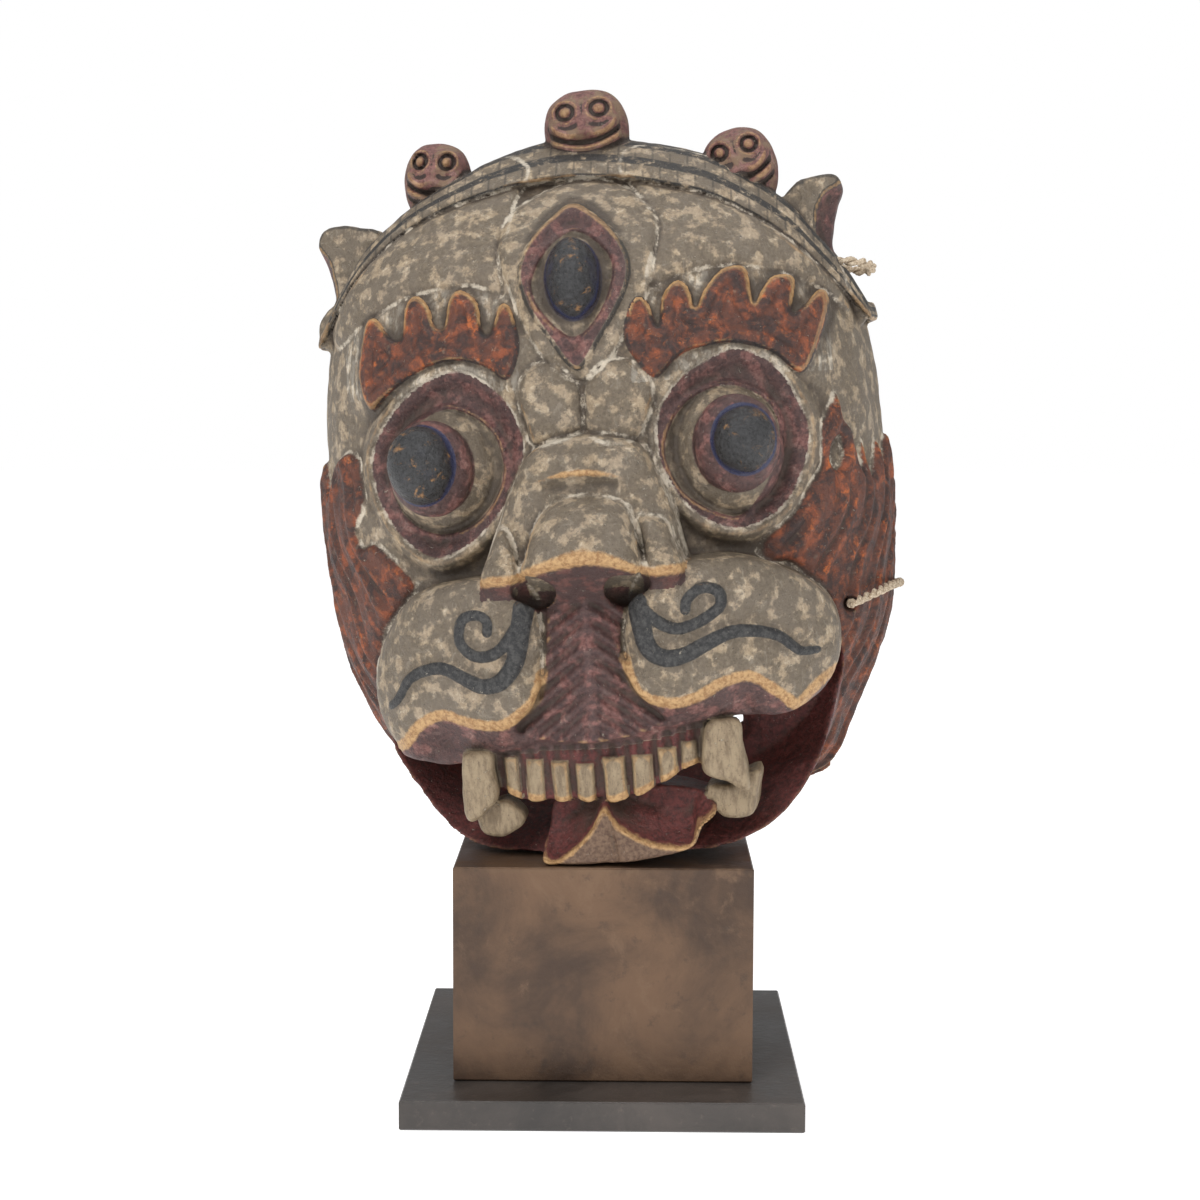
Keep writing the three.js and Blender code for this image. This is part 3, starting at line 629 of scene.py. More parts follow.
teeth = {
    "centres": (-45, -33, -20, -7.5, 7.5, 21.5, 34.5, 45),
    "widths": (8, 9, 9, 9.5, 11.5, 10.5, 9.5, 8.5),
    "tops": (-128, -130, -131, -133, -130, -130, -127, -125),
    "out": (0.4, -0.5, 0.6, 0, 0.8, 0.2, 0.9, -0.3),
}
bite = [(-60, -140), (-49, -146), (-41, -150), (-33, -151.5), (-26, -151), (-20, -153), (-14, -151.5),
        (-7, -153.5), (-1, -151.5), (7, -153), (15, -150), (21, -149.5), (28, -145.5), (34, -143.5),
        (40, -140), (46, -138), (56, -136)]


def toothRow(u, v, w):
    end = np.interp(u, *np.array(bite).T)
    curve = 0.0030 * (u - 2) ** 2
    gum = -146.0 + curve + 1.2 * np.cos(u * 0.9) * ramp(w, -134, -126)
    proud = np.zeros(np.broadcast(u, w).shape, np.float32)
    for c, wide, top, out in zip(*teeth.values()):
        inner = np.minimum(wide / 2 - np.abs(u - c + 0.05 * (w + 138) * out), top - w)
        proud = np.maximum(proud, step(inner, 3.9 + out, 2.4))
    face = gum - proud - 0.06 * (w + 130) - v
    return softMax(softMax(softMax(face, end - w, 2.2), np.abs(u) - 58, 2), v - (-132 + curve), 2)


rowBox = ((-62, -158, -158), (66, -120, -112))
tusks = {"canineLeft": slab("canineLeft", -149, -126, 5.0, 0.02), 
         "canineRight": slab("canineRight", -146, -122, 5.0, 0.06),
         "fangLeft": slab("fangLeft", -141, -112, 4.0), "fangRight": slab("fangRight", -138, -106, 4.0)}


def mouthPieces(field):
    join(field, *rowBox, toothRow, 1.0)
    for tusk in tusks.values():
        join(field, *tusk, 1.0)


tongueBox = slab("tongue", -156, -96, 3.0, -0.10)
tongueCrest = [(-30, -180), (-25, -182), (-15, -176), (-6, -167), (1, -156), (7, -164), (17, -171.5),
               (29, -176), (43, -177), (48, -168), (56, -161)]


def tongueShape(u, v, w):
    above = w - along(tongueCrest, u)
    hollow = -156 + 24 * np.sqrt(np.clip(above / 16, 0, 1))
    groove = 2.6 * bell(u - 3 - 0.12 * (-156 - w), 1.6) + 2.0 * bell(u - 9 - 0.35 * (-160 - w), 1.5)
    face = np.where(above > 0, hollow, -156 - 0.25 * above + groove) - v
    return softMax(tongueBox[2](u, v, w), face * 0.8, 1.5)


skullPlan = {  # centre, half width, half height and tip of the head
    "middle": ((5.5, -44, 188.5), 22.5, 22.5, 4),
    "left": ((-77, -44, 168), 18.0, 22.0, -6),
    "right": ((86, -42, 163.5), 20.0, 22.0, 14),
}


def skullShape(centre, wide, tall, tip):
    deep = 20.0
    spin = math.radians(tip)

    def shape(u, v, w):
        x, z = u - centre[0], w - centre[2]
        x, z = x * math.cos(spin) + z * math.sin(spin), -x * math.sin(spin) + z * math.cos(spin)
        x, z = x / wide, z / tall
        y = (v - centre[1]) / deep
        # squarer than an egg, narrower at the chin
        narrow = 1 - 0.10 * ramp(-z, -0.1, 1.0)
        size = ((np.abs(x / narrow) ** 2.6 + np.abs(z) ** 2.4) ** (2 / 2.5) + y * y) ** 0.5
        # a wide mouth, ringed eyes and a chin crease cut in the front
        smile = z + 0.24 - 0.40 * x * x
        end = ramp(np.abs(x), 0.88, 0.7)
        up = 3.2 * bell(smile - 0.17 - 0.06 * np.cos(x * 7), 0.12) * end
        mouth = -3.4 * bell(smile + 0.02, 0.055) * end
        low = 2.8 * bell(smile + 0.17, 0.09) * end - 2.4 * bell(smile + 0.33, 0.05) * end
        eye = np.hypot(np.abs(x) - 0.40, (z - 0.50) * 1.1)
        eyes = 3.0 * bell(eye, 0.13) - 2.6 * bell(eye - 0.19, 0.05) + 1.4 * bell(eye - 0.30, 0.06)
        bump = 2.2 * bell(np.hypot(x / 0.16, (z - 0.22) / 0.16), 1.0)
        front = ramp(-y, 0.05, 0.5)
        return (size - 1) * wide - front * (up + mouth + low + eyes + bump)

    low = [centre[0] - wide - 8, centre[1] - deep - 8, centre[2] - tall - 8]
    high = [centre[0] + wide + 8, centre[1] + deep + 8, centre[2] + tall + 8]
    return low, high, shape


earPlan = {"earRight": "earPink", "earLeft": "earSliver"}  # each ear and the part of it that is scooped


def earShape(name, hollow):
    # a leaf that turns back at its outer edge, scooped inside
    points = np.array(lines[name], float)
    low = [points[:, 0].min() - 6, -66, points[:, 1].min() - 6]
    high = [points[:, 0].max() + 6, 0, points[:, 1].max() + 6]

    def shape(u, v, w):
        reach = np.abs(u)
        front = -47 + 0.40 * np.maximum(reach - 118, 0)
        scoop = step(sample(area[hollow], u, w), 7.5, 7)
        back = front + 22 - 0.20 * np.maximum(reach - 118, 0)
        return softMax(softMax(-sample(area[name], u, w), front + scoop - v, 2.0), v - back, 2.5)

    return low, high, shape


def hollowOut(field):
    # the top of the head stops level behind the band, and the inside follows the outside
    top = bandHeadAt(U) + 0.09 * (V + 62)
    field[:] = softMax(field, W - top, 2.0)
    inner = np.maximum(domeField(dome["wall"]), W - (bandHeadAt(U) - 15))
    field[:] = np.maximum(field, -inner)
    back = V - np.where(W < rimCut["from"], (W - rimCut["from"]) * rimCut["slope"], 0)
    tilt = 1 / math.hypot(1, rimCut["slope"])
    field[:] = softMax(field, np.where(W < rimCut["from"], back * tilt, back), 1.5)


def bandHeadAt(u):
    return along(bandTop, u).astype(np.float32)


def ripple(u, v, w, seed, wave, size):
    # slow unevenness of knife work, from a few crossed waves
    rng = np.random.default_rng(seed)
    total = 0
    for _ in range(5):
        way = rng.normal(size=3)
        way = way / np.linalg.norm(way) * 2 * math.pi / (wave * rng.uniform(0.7, 1.5))
        total = total + np.sin(way[0] * u + way[1] * v + way[2] * w + rng.uniform(0, 6.28))
    return size * total / 2.2


def carveMask():
    field = faceField()
    print("face and jaw are blocked out")
    eyeballs(field)
    mouthPieces(field)
    join(field, tongueBox[0], tongueBox[1], tongueShape, 1.0)
    hollowOut(field)
    for plan in skullPlan.values():
        join(field, *skullShape(*plan), 1.5)
    for name, hollow in earPlan.items():
        join(field, *earShape(name, hollow), 2.0)
    carve(field, *egg((137, -40, 112), (4, 30, 4)), 1.0)
    field += ripple(U, V, W, 3, 34.0, 0.5).astype(np.float32)
    field += ripple(U, V, W, 5, 11.0, 0.16).astype(np.float32)
    field = np.maximum(field, -185.3 - 0.07 * U - W)  # clear of the block below
    print("mask field is carved")
    return field


# from the field to a mesh: one point in each cell that the surface crosses

def netMesh(field, low, size):
    inside = field < 0
    nx, ny, nz = field.shape
    corner = np.zeros((nx - 1, ny - 1, nz - 1), np.int8)
    for a in (0, 1):
        for b in (0, 1):
            for c in (0, 1):
                corner += inside[a:nx - 1 + a, b:ny - 1 + b, c:nz - 1 + c]
    cells = np.argwhere((corner > 0) & (corner < 8))
    number = np.full(corner.shape, -1, np.int32)
    number[tuple(cells.T)] = np.arange(len(cells))
    spot, count = np.zeros((len(cells), 3)), np.zeros(len(cells))
    for p in [(a, b, c) for a in (0, 1) for b in (0, 1) for c in (0, 1)]:
        for k in range(3):
            if p[k]:
                continue
            q = tuple(p[m] + (m == k) for m in range(3))
            f0 = field[tuple((cells + p).T)]
            f1 = field[tuple((cells + q).T)]
            cross = (f0 < 0) != (f1 < 0)
            t = np.where(cross, f0 / np.where(cross, f0 - f1, 1), 0)
            point = np.array(p, float)[None, :] + t[:, None] * (np.array(q) - np.array(p))[None, :]
            spot[cross] += point[cross]
            count[cross] += 1
    points = (cells + spot / count[:, None]) * size + np.array(low)
    faces = []
    for k in range(3):
        a, b = [m for m in range(3) if m != k]
        core0, core1 = (inside[tuple(slice(1, -1) if m != k else ends for m in range(3))]
                        for ends in (slice(0, -1), slice(1, None)))
        for flip in (False, True):
            hits = np.argwhere((core0 & ~core1) if not flip else (~core0 & core1))
            base = hits + np.array([0 if m == k else 1 for m in range(3)])
            quad = []
            for da, db in ((-1, -1), (0, -1), (0, 0), (-1, 0)):
                shift = np.zeros(3, int)
                shift[a], shift[b] = da, db
                quad.append(number[tuple((base + shift).T)])
            quad = np.stack(quad, 1)
            if flip != (k == 1):
                quad = quad[:, ::-1]
            faces.append(quad)
    return points, np.concatenate(faces)


def blurred(field, times):
    out = field.copy()
    for _ in range(times):
        for k in range(3):
            out = (np.roll(out, 1, k) + out * 2 + np.roll(out, -1, k)) * 0.25
    return out


def trilinear(field, p):
    q = (p - np.array(grid["low"])) / grid["step"]
    i = np.clip(q.astype(int), 0, np.array(field.shape) - 2)
    q = q - i
    total = 0
    for a in (0, 1):
        for b in (0, 1):
            for c in (0, 1):
                share = (abs(1 - a - q[:, 0])) * (abs(1 - b - q[:, 1])) * (abs(1 - c - q[:, 2]))
                total = total + share * field[i[:, 0] + a, i[:, 1] + b, i[:, 2] + c]
    return total


def applyModifier(piece, kind, **values):
    modifier = piece.modifiers.new(kind, kind)
    for key, value in values.items():
        setattr(modifier, key, value)
    with bpy.context.temp_override(object=piece, active_object=piece, selected_objects=[piece]):
        bpy.ops.object.modifier_apply(modifier=modifier.name)


def insideWood(p):
    # millimetres past the inner wall, or behind the back rim
    u, v, w = p.T
    wall = (1.02 - domeSize(u, v, w, dome["wall"])) * 110
    back = v - np.where(w < rimCut["from"], (w - rimCut["from"]) * rimCut["slope"], 0) + 1.6
    lip = np.maximum(-(w + 66), 0) * 0.3 + 20  # the bowl of the mouth isn't bare wood
    bowl = (sample(area["jaw"], u, w) > -2) & (v < -40) & (w < -70)
    return np.where(bowl, np.minimum(wall - lip, 0) - 2, np.maximum(wall, back))


def maskMesh():
    field = carveMask()
    field[0], field[-1] = 9, 9
    field[:, 0], field[:, -1] = 9, 9
    field[:, :, 0], field[:, :, -1] = 9, 9
    points, faces = netMesh(field, grid["low"], grid["step"])
    print("net has", len(points), "points")
    mesh = bpy.data.meshes.new("mask_carved")
    mesh.from_pydata(points.tolist(), [], faces.tolist())
    mesh.validate()
    piece = bpy.data.objects.new("mask_carved", mesh)
    bpy.context.collection.objects.link(piece)
    # the plain inside gives up most of the triangles, so the face keeps its own
    plain = piece.vertex_groups.new(name="plain")
    hidden = np.nonzero(insideWood(points) > 0.5)[0]
    plain.add(hidden.tolist(), 1.0, "REPLACE")
    triangles = 2 * len(mesh.polygons)
    largest = 190000
    if triangles > largest:
        applyModifier(piece, "DECIMATE", ratio=largest / triangles, vertex_group="plain",
                      vertex_group_factor=3.0)
    return piece, field


mask, maskField = maskMesh()
corners = np.zeros(len(mask.data.vertices) * 3)
mask.data.vertices.foreach_get("co", corners)
corners = corners.reshape(-1, 3)
print("mask mesh is made,", len(corners), "points,", int((insideWood(corners) > 0.5).sum()), "inside")


# where each paint lies, as millimetres inside its edge, kept on the points of the mesh

def paintMaps(p):
    u, v, w = p.T
    roundHead = sideway(u, v, w)
    wood = insideWood(p)
    inFront = v < -55
    eggs = {name: np.min([egg(*one)[2](u, v, w) for one in ones], 0) for name, ones in eyeParts.items()}
    skull = np.min([skullShape(*plan)[2](u, v, w) for plan in skullPlan.values()], 0)
    ears = [earShape(name, hollow)[2](u, v, w) for name, hollow in earPlan.items()]
    onEar = np.maximum(1.6 - np.minimum(*ears), -9)
    onSkull = 1.6 - skull
    overMuzzle = (sample(area["muzzle"], u, w) > -2) & (v < sample(muzzle, u, w) + 12)
    onLip = np.where(overMuzzle & (w < -24), 3.0, -3.0)
    onNose = np.minimum(3 - np.abs(noseShape(u, v, w)), sample(area["noseSide"], u, w) + 2)
    onNose = np.where(v < -128, onNose, -3)
    face = inFront & (onLip < 0) & (onSkull < 0)
    at = {name: sample(one, u, w) for name, one in area.items()}
    flame = np.where(inFront | (np.abs(roundHead) > 60), sample(side["flame"], roundHead, w), -9)
    flame = np.where((onLip > 0) | (w > 60) | (np.abs(u) < 50) | (onSkull > 0), -9, flame)
    inJaw = (at["jaw"] > -0.5) & (v > sample(jaw, u, w) - 12) & (v < -25)
    flame = np.where(inJaw & (at["jaw"] > 0.8), -9, flame)
    brow = np.where(face, np.maximum(at["browLeft"], at["browRight"]), -9)
    # purple: eye rings, third eye, skulls, under the nose and lips, the groove, the ears' insides
    rings = [np.minimum(at["socket" + way], -at["sclera" + way] - 0.2) for way in ("Left", "Right")]
    rings.append(np.minimum(at["almond"] - 2.2, -at["thirdSclera"]))
    mauve = np.where(face & (onNose < 1.5), np.max(rings, 0), -9)
    iris = np.minimum(1.2 - eggs["iris"], 4)
    mauve = np.maximum(mauve, np.where(v < -128, iris, -9))
    edge = along(noseEdge, u)
    mauve = np.maximum(mauve, np.where((onNose > 0), np.minimum(edge - w - 0.8, 6), -9))
    puff = np.maximum(at["puffLeft"], at["puffRight"])
    lipEdge, lipRise = sample(gold, u, w), sample(lipTop, u, w)
    mauve = np.maximum(mauve, np.where((onLip > 0) & (w < -45), np.minimum(-puff - 1.5, 6), -9))
    mauve = np.maximum(mauve, np.where(onSkull > 0, 4.0, -9))
    mauve = np.maximum(mauve, np.where(onEar > 0, np.maximum(at["earPink"], at["earSliver"]), -9))
    # dark red: the bowl of the jaw, gums and tongue
    tooth = np.where((w < -114) & (w > -160), 1.3 - toothRow(u, v, w), -9)
    proudTooth = np.full(len(u), -9.0)
    for c, wide, top, out in zip(*teeth.values()):
        across = wide / 2 - np.abs(u - c + 0.05 * (w + 138) * out)
        proudTooth = np.maximum(proudTooth, np.minimum(across, top - w))
    tusk = np.max([1.4 - one[2](u, v, w) for one in tusks.values()], 0)
    tongue = 1.4 - tongueShape(u, v, w)
    red = np.where(inJaw & (onLip < 0), np.minimum(at["jaw"] + 0.5, 6), -9)
    red = np.maximum(red, np.where((tooth > 0) & (onLip < 0), 5, -9))
    bone = np.maximum(np.where(tooth > 0, proudTooth, -9), np.where(tusk > 0, 4, -9))
    crest = along(tongueCrest, u)
    red = np.maximum(red, np.where((tongue > 0) & (w > crest) & (bone < 0), 5, -9))
    tongueFront = np.where((tongue > 0) & (bone < 0), np.minimum(crest - w + 1, 5), -9)
    # black: moustaches, pupils and the band's lines
    black = np.where(onLip > 0, at["moustache"], -9)
    pupil = np.where(v < -120, np.minimum(1.3 - eggs["pupil"], 5), -9)
    share = sample(bandShare, u, w)
    band = np.where((onSkull < 0) & (onEar < 0) & (v < -8), share, -1)
    # pale cuts between the forms, and the wood worn bare along the edges
    chalk = np.full(len(u), 9.0)
    for name in ("lobeLeft", "lobeRight", "mound", "lumpLeft", "lumpRight", "socketLeft", "socketRight"):
        chalk = np.where(face, np.minimum(chalk, np.abs(at[name])), chalk)
    chalk = np.where(face, np.minimum(chalk, np.abs(bandFootAt(u) - w)), chalk)
    chalk = np.minimum(chalk, np.where(flame > -6, np.abs(flame + 1), 9))
    noseCuts = np.minimum.reduce([np.abs(at[name]) for name in ("ball", "wingLeft", "wingRight")])
    noseCuts = np.minimum(noseCuts, np.abs(at["noseSide"]))
    chalk = np.where((onNose > 0) & (w > edge + 1), np.minimum(chalk, noseCuts), chalk)
    lipCuts = np.where(lipEdge + 3 < lipRise, 9, lipRise)
    chalk = np.where((onLip > 0) & (puff > -1.5), np.minimum(chalk, lipCuts), chalk)
    chalk = np.where(((brow > 0.5) | (mauve > 1) | (pupil > 0)), 9, chalk)
    wear = np.where(onLip > 0, 3.4 - lipEdge, -9)
    noseWear = 2.6 - np.abs(edge - w - 0.5) * 0.8 + 2.2 * bell(u - 2, 17) * (w > edge)
    wrinkle = 2.0 - np.abs(w - 13 + 0.008 * u * u) - 0.15 * np.maximum(np.abs(u - 1) - 10, 0)
    wear = np.maximum(wear, np.where(onNose > 0, np.maximum(noseWear, wrinkle), -9))
    wear = np.maximum(wear, np.where((tongue > 0) & (bone < 0), 1.8 - np.abs(w - crest), -9))
    biteWear = np.where(tooth > 0, np.interp(u, *np.array(bite).T) + 4.2 - w, -9)
    wear = np.maximum(wear, biteWear * (bone > 0) - 9 * (bone <= 0))
    tips = np.where(brow > 0, np.minimum(2.2 - brow, (w - 88) * 0.3), -9)
    wear = np.maximum(wear, tips)
    forms = np.maximum.reduce([brow, at["lobeLeft"], at["lobeRight"], at["almond"], at["mound"] - 3])
    gap = np.where(face & (np.abs(u) < 128) & (w > 55) & (w < 110), -forms, -9)
    gap = np.where(np.abs(u) < 28, -9, gap)
    almondLine = np.where(face, at["almond"] - 0.8, -9)
    # how far below the nose's lower edge a point lies, which sets the painted shade under the nose
    noseUnder = np.where(onNose > 0, edge - w, -9)
    return {
        "bare": wood, "orange": np.maximum(brow, flame), "mauve": mauve, "red": red, "bone": bone,
        "tongue": tongueFront, "black": black, "pupil": pupil, "band": band, "chalk": chalk,
        "wear": wear, "brow": brow, "flame": flame, "skull": onSkull, "ear": onEar,
        "almondLine": almondLine, "gap": gap, "noseUnder": noseUnder,
    }


def bandFootAt(u):
    return along(bandLow, u)


paintAt = paintMaps(corners)
fine = blurred(maskField, 2)
paintAt["edge"] = (trilinear(fine, corners) - trilinear(maskField, corners)) / (grid["step"] * 0.55)
wide = blurred(fine, 12)
paintAt["rise"] = (trilinear(wide, corners) - trilinear(maskField, corners)) / (grid["step"] * 1.6)
del fine, wide
for name, values in paintAt.items():
    layer = mask.data.attributes.new(name, "FLOAT", "POINT")
    layer.data.foreach_set("value", np.clip(values, -12, 12).astype(np.float32))
layer = mask.data.attributes.new("spot", "FLOAT_VECTOR", "POINT")
layer.data.foreach_set("vector", corners.astype(np.float32).ravel())
print("paint is laid out")


def poseMatrix():
    turn = Matrix.Rotation(math.radians(pose["turn"]), 4, "Z")
    lean = Matrix.Rotation(math.radians(-pose["lean"]), 4, "Y")
    return Matrix.Translation((0, pose["back"] * mm, pose["height"] * mm)) @ turn @ lean


mask.data.transform(poseMatrix() @ Matrix.Scale(mm, 4))
mask.data.shade_smooth()
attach(mask, "root")
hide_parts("mask")


# materials

class Sheet:
    # a material's nodes, with short ways to add to them
    def __init__(self, name):
        self.material = bpy.data.materials.new(name)
        self.material.use_nodes = True
        self.tree = self.material.node_tree
        self.shader = self.tree.nodes["Principled BSDF"]

    def put(self, socket, value):
        if isinstance(value, bpy.types.NodeSocket):
            self.tree.links.new(value, socket)
        elif isinstance(value, tuple) and len(value) == 3 and socket.type == "RGBA":
            socket.default_value = (*value, 1)
        else:
            socket.default_value = value

    def read(self, name):
        node = self.tree.nodes.new("ShaderNodeAttribute")
        node.attribute_name = name
        return node.outputs["Vector" if name == "spot" else "Fac"]

    def math(self, operation, a, b=0.0, clamp=False):
        node = self.tree.nodes.new("ShaderNodeMath")
        node.operation, node.use_clamp = operation, clamp
        self.put(node.inputs[0], a)
        self.put(node.inputs[1], b)
        return node.outputs[0]

    def mix(self, share, a, b):
        node = self.tree.nodes.new("ShaderNodeMix")
        node.data_type = "RGBA"
        self.put(node.inputs[0], share)
        self.put(node.inputs[6], a)
        self.put(node.inputs[7], b)
        return node.outputs[2]

    def noise(self, where, size, detail=4.0, rough=0.6, warp=0.0, stretch=None):
        if stretch:
            shift = self.tree.nodes.new("ShaderNodeMapping")
            self.put(shift.inputs["Vector"], where)
            shift.inputs["Scale"].default_value = stretch
            where = shift.outputs[0]
        node = self.tree.nodes.new("ShaderNodeTexNoise")
        self.put(node.inputs["Vector"], where)
        node.inputs["Scale"].default_value = size
        node.inputs["Detail"].default_value = detail
        node.inputs["Roughness"].default_value = rough
        node.inputs["Distortion"].default_value = warp
        return node.outputs[0]

    def cells(self, where, size):
        node = self.tree.nodes.new("ShaderNodeTexVoronoi")
        self.put(node.inputs["Vector"], where)
        node.inputs["Scale"].default_value = size
        return node.outputs["Distance"]

    def ramp(self, value, low, high, top=1.0):
        # 0 below low, top above high, smooth between
        node = self.tree.nodes.new("ShaderNodeMapRange")
        node.interpolation_type = "SMOOTHSTEP"
        self.put(node.inputs[0], value)
        for k, number in enumerate((low, high, 0.0, top)):
            node.inputs[k + 1].default_value = number
        return node.outputs[0]

    def times(self, a, b):
        return self.math("MULTIPLY", a, b)

    def plus(self, a, b):
        return self.math("ADD", a, b)

    def bump(self, height, depth, normal=None):
        node = self.tree.nodes.new("ShaderNodeBump")
        node.inputs["Distance"].default_value = depth
        self.put(node.inputs["Height"], height)
        if normal is not None:
            self.put(node.inputs["Normal"], normal)
        return node.outputs[0]

    def finish(self, color, roughness, normal=None):
        self.put(self.shader.inputs["Base Color"], color)
        self.put(self.shader.inputs["Roughness"], roughness)
        if normal is not None:
            self.put(self.shader.inputs["Normal"], normal)
        return self.material


paints = {
    "khaki": (0.45, 0.35, 0.235), "khakiPale": (0.60, 0.50, 0.37), "khakiDark": (0.28, 0.21, 0.135),
    "chalk": (0.72, 0.64, 0.52), "orange": (0.27, 0.075, 0.032), "orangeBright": (0.50, 0.13, 0.03),
    "orangeDark": (0.075, 0.028, 0.018), "mauve": (0.235, 0.110, 0.095), "mauveDark": (0.105, 0.042, 0.038),
    "mauvePale": (0.33, 0.20, 0.17), "red": (0.150, 0.040, 0.036), "redDark": (0.060, 0.020, 0.018),
    "bone": (0.34, 0.26, 0.165), "black": (0.022, 0.022, 0.023), "blackPale": (0.075, 0.073, 0.070),
    "blue": (0.030, 0.036, 0.085), "gold": (0.58, 0.36, 0.165), "goldDark": (0.33, 0.17, 0.065),
    # the last colour on this line is the painted shade laid in the hollows
    "bare": (0.100, 0.070, 0.045), "barePale": (0.21, 0.15, 0.10), "hollowShade": (0.055, 0.040, 0.030),
}


def maskPaint():
    s = Sheet("maskPaint")
    spot = s.read("spot")
    grain = s.noise(spot, 0.42, 6, 0.7)
    speck = s.noise(spot, 0.95, 4, 0.65)
    patch = s.noise(spot, 0.045, 5, 0.62, 0.6)
    streak = s.noise(spot, 0.30, 5, 0.7, 0.3, (1.0, 1.0, 0.28))
    fray = s.times(s.math("SUBTRACT", s.noise(spot, 0.28, 6, 0.72), 0.5), 3.4)
    edge, rise = s.read("edge"), s.read("rise")

    def inside(name, soft=0.35, wander=1.0, shift=0.0):
        value = s.plus(s.read(name), s.times(fray, wander))
        return s.ramp(s.plus(value, shift), -soft, soft)

    # weathered white: greyish khaki with pale rubbed patches and dark specks
    color = s.mix(s.ramp(grain, 0.36, 0.66), paints["khakiDark"], paints["khaki"])
    color = s.mix(s.ramp(patch, 0.40, 0.66, 0.55), color, (0.38, 0.305, 0.225))
    color = s.mix(s.ramp(s.noise(spot, 0.17, 7, 0.75, 0.8), 0.53, 0.66, 0.75), color, paints["khakiPale"])
    color = s.mix(s.ramp(streak, 0.56, 0.70, 0.6), color, paints["khakiPale"])
    color = s.mix(s.ramp(speck, 0.60, 0.68, 0.75), color, (0.10, 0.075, 0.052))
    gap = s.times(s.ramp(s.read("gap"), 0.0, 3.0), s.ramp(streak, 0.42, 0.58, 0.8))
    color = s.mix(gap, color, paints["chalk"])

    # purple
    plum = s.mix(s.ramp(grain, 0.36, 0.62), paints["mauveDark"], paints["mauve"])
    plum = s.mix(s.ramp(s.noise(spot, 0.13, 6, 0.72, 0.5), 0.52, 0.70, 0.8), plum, paints["mauvePale"])
    plum = s.mix(s.ramp(speck, 0.61, 0.68, 0.8), plum, paints["mauveDark"])
    # painted shade: the plum grows darker below the nose's lower edge
    plum = s.mix(s.ramp(s.read("noseUnder"), 1.0, 4.0, 0.65), plum, (0.10, 0.040, 0.032))
    color = s.mix(inside("mauve", 0.4, 0.5), color, plum)

    # orange brows and flames, with bright rubbed places and dark hollows
    char = s.ramp(s.noise(spot, 0.10, 5, 0.7, 0.8), 0.38, 0.60)
    fire = s.mix(char, paints["orangeDark"], paints["orange"])
    bright = s.ramp(s.plus(s.noise(spot, 0.15, 6, 0.75, 1.0), s.times(edge, 0.10)), 0.56, 0.68, 0.85)
    fire = s.mix(bright, fire, paints["orangeBright"])
    fire = s.mix(s.ramp(speck, 0.58, 0.66, 0.7), fire, (0.055, 0.03, 0.024))
    fire = s.mix(s.ramp(s.noise(spot, 0.22, 5, 0.7), 0.60, 0.68, 0.6), fire, (0.33, 0.22, 0.15))
    color = s.mix(inside("orange", 0.35, 0.4), color, fire)
    # black outlines round the brows, flames and third eye
    outlined = (("brow", -0.2, 1.9, 0.75), ("flame", -0.4, 1.6, 0.6), ("almondLine", -0.8, 1.1, 0.8))
    for name, low, high, dark in outlined:
        value = s.plus(s.read(name), s.times(fray, 0.35))
        line = s.times(s.ramp(value, low - 0.4, low + 0.2), s.ramp(value, high + 0.5, high - 0.3))
        line = s.times(line, s.ramp(s.noise(spot, 0.12, 4, 0.6), 0.38, 0.52, dark))
        color = s.mix(line, color, paints["black"])

    # mouth
    blood = s.mix(s.ramp(grain, 0.36, 0.62), paints["redDark"], paints["red"])
    blood = s.mix(s.ramp(s.noise(spot, 0.15, 6, 0.7), 0.56, 0.70, 0.7), blood, (0.24, 0.085, 0.075))
    color = s.mix(inside("red", 0.5, 0.4), color, blood)
    tongue = s.mix(s.ramp(grain, 0.38, 0.62), (0.10, 0.055, 0.035), (0.20, 0.125, 0.08))
    color = s.mix(inside("tongue", 0.6, 0.5), color, tongue)
    ivory = s.mix(s.ramp(streak, 0.36, 0.62), (0.20, 0.145, 0.09), paints["bone"])
    ivory = s.mix(s.ramp(speck, 0.60, 0.68, 0.7), ivory, (0.09, 0.06, 0.04))
    color = s.mix(inside("bone", 0.35, 0.3, 0.1), color, ivory)

    # skulls: brown over purple, with painted shade making the carved hollows of the mouth and round the
    # eyes dark
    head = s.mix(s.ramp(s.noise(spot, 0.11, 6, 0.7), 0.45, 0.60), plum, (0.21, 0.135, 0.085))
    # painted shade: near-black where the surface curves inward
    head = s.mix(s.ramp(edge, -0.10, -0.35), head, (0.045, 0.028, 0.024))
    color = s.mix(s.ramp(s.read("skull"), -0.2, 0.3), color, head)

    # band: three black lines and thin joints between them
    band = s.read("band")
    rows = []
    for low, high in ((0.03, 0.10), (0.42, 0.60), (0.88, 1.3)):
        wavy = s.plus(band, s.times(fray, 0.012))
        rows.append(s.times(s.ramp(wavy, low - 0.03, low + 0.01), s.ramp(wavy, high + 0.03, high - 0.01)))
    lined = s.math("MAXIMUM", s.math("MAXIMUM", rows[0], rows[1]), rows[2])
    across = s.tree.nodes.new("ShaderNodeSeparateXYZ")
    s.put(across.inputs[0], spot)
    for width, shift, low, high in ((9.0, 0.0, 0.08, 0.44), (9.0, 4.0, 0.56, 0.92)):
        saw = s.math("PINGPONG", s.plus(across.outputs[0], shift), width / 2)
        row = s.times(s.ramp(band, low, low + 0.02), s.ramp(band, high + 0.02, high))
        joint = s.times(s.ramp(saw, 0.75, 0.35), row)
        lined = s.math("MAXIMUM", lined, s.times(joint, 0.55))
    lined = s.times(lined, s.ramp(s.noise(spot, 0.2, 5, 0.7), 0.34, 0.48))
    color = s.mix(s.times(lined, 0.92), color, paints["black"])
    # ears: black along their edge
    corner = s.ramp(s.plus(edge, s.times(fray, 0.05)), 0.30, 0.50, 0.7)
    rim = s.times(s.ramp(s.read("ear"), 0.1, 0.6), corner)
    color = s.mix(rim, color, paints["black"])

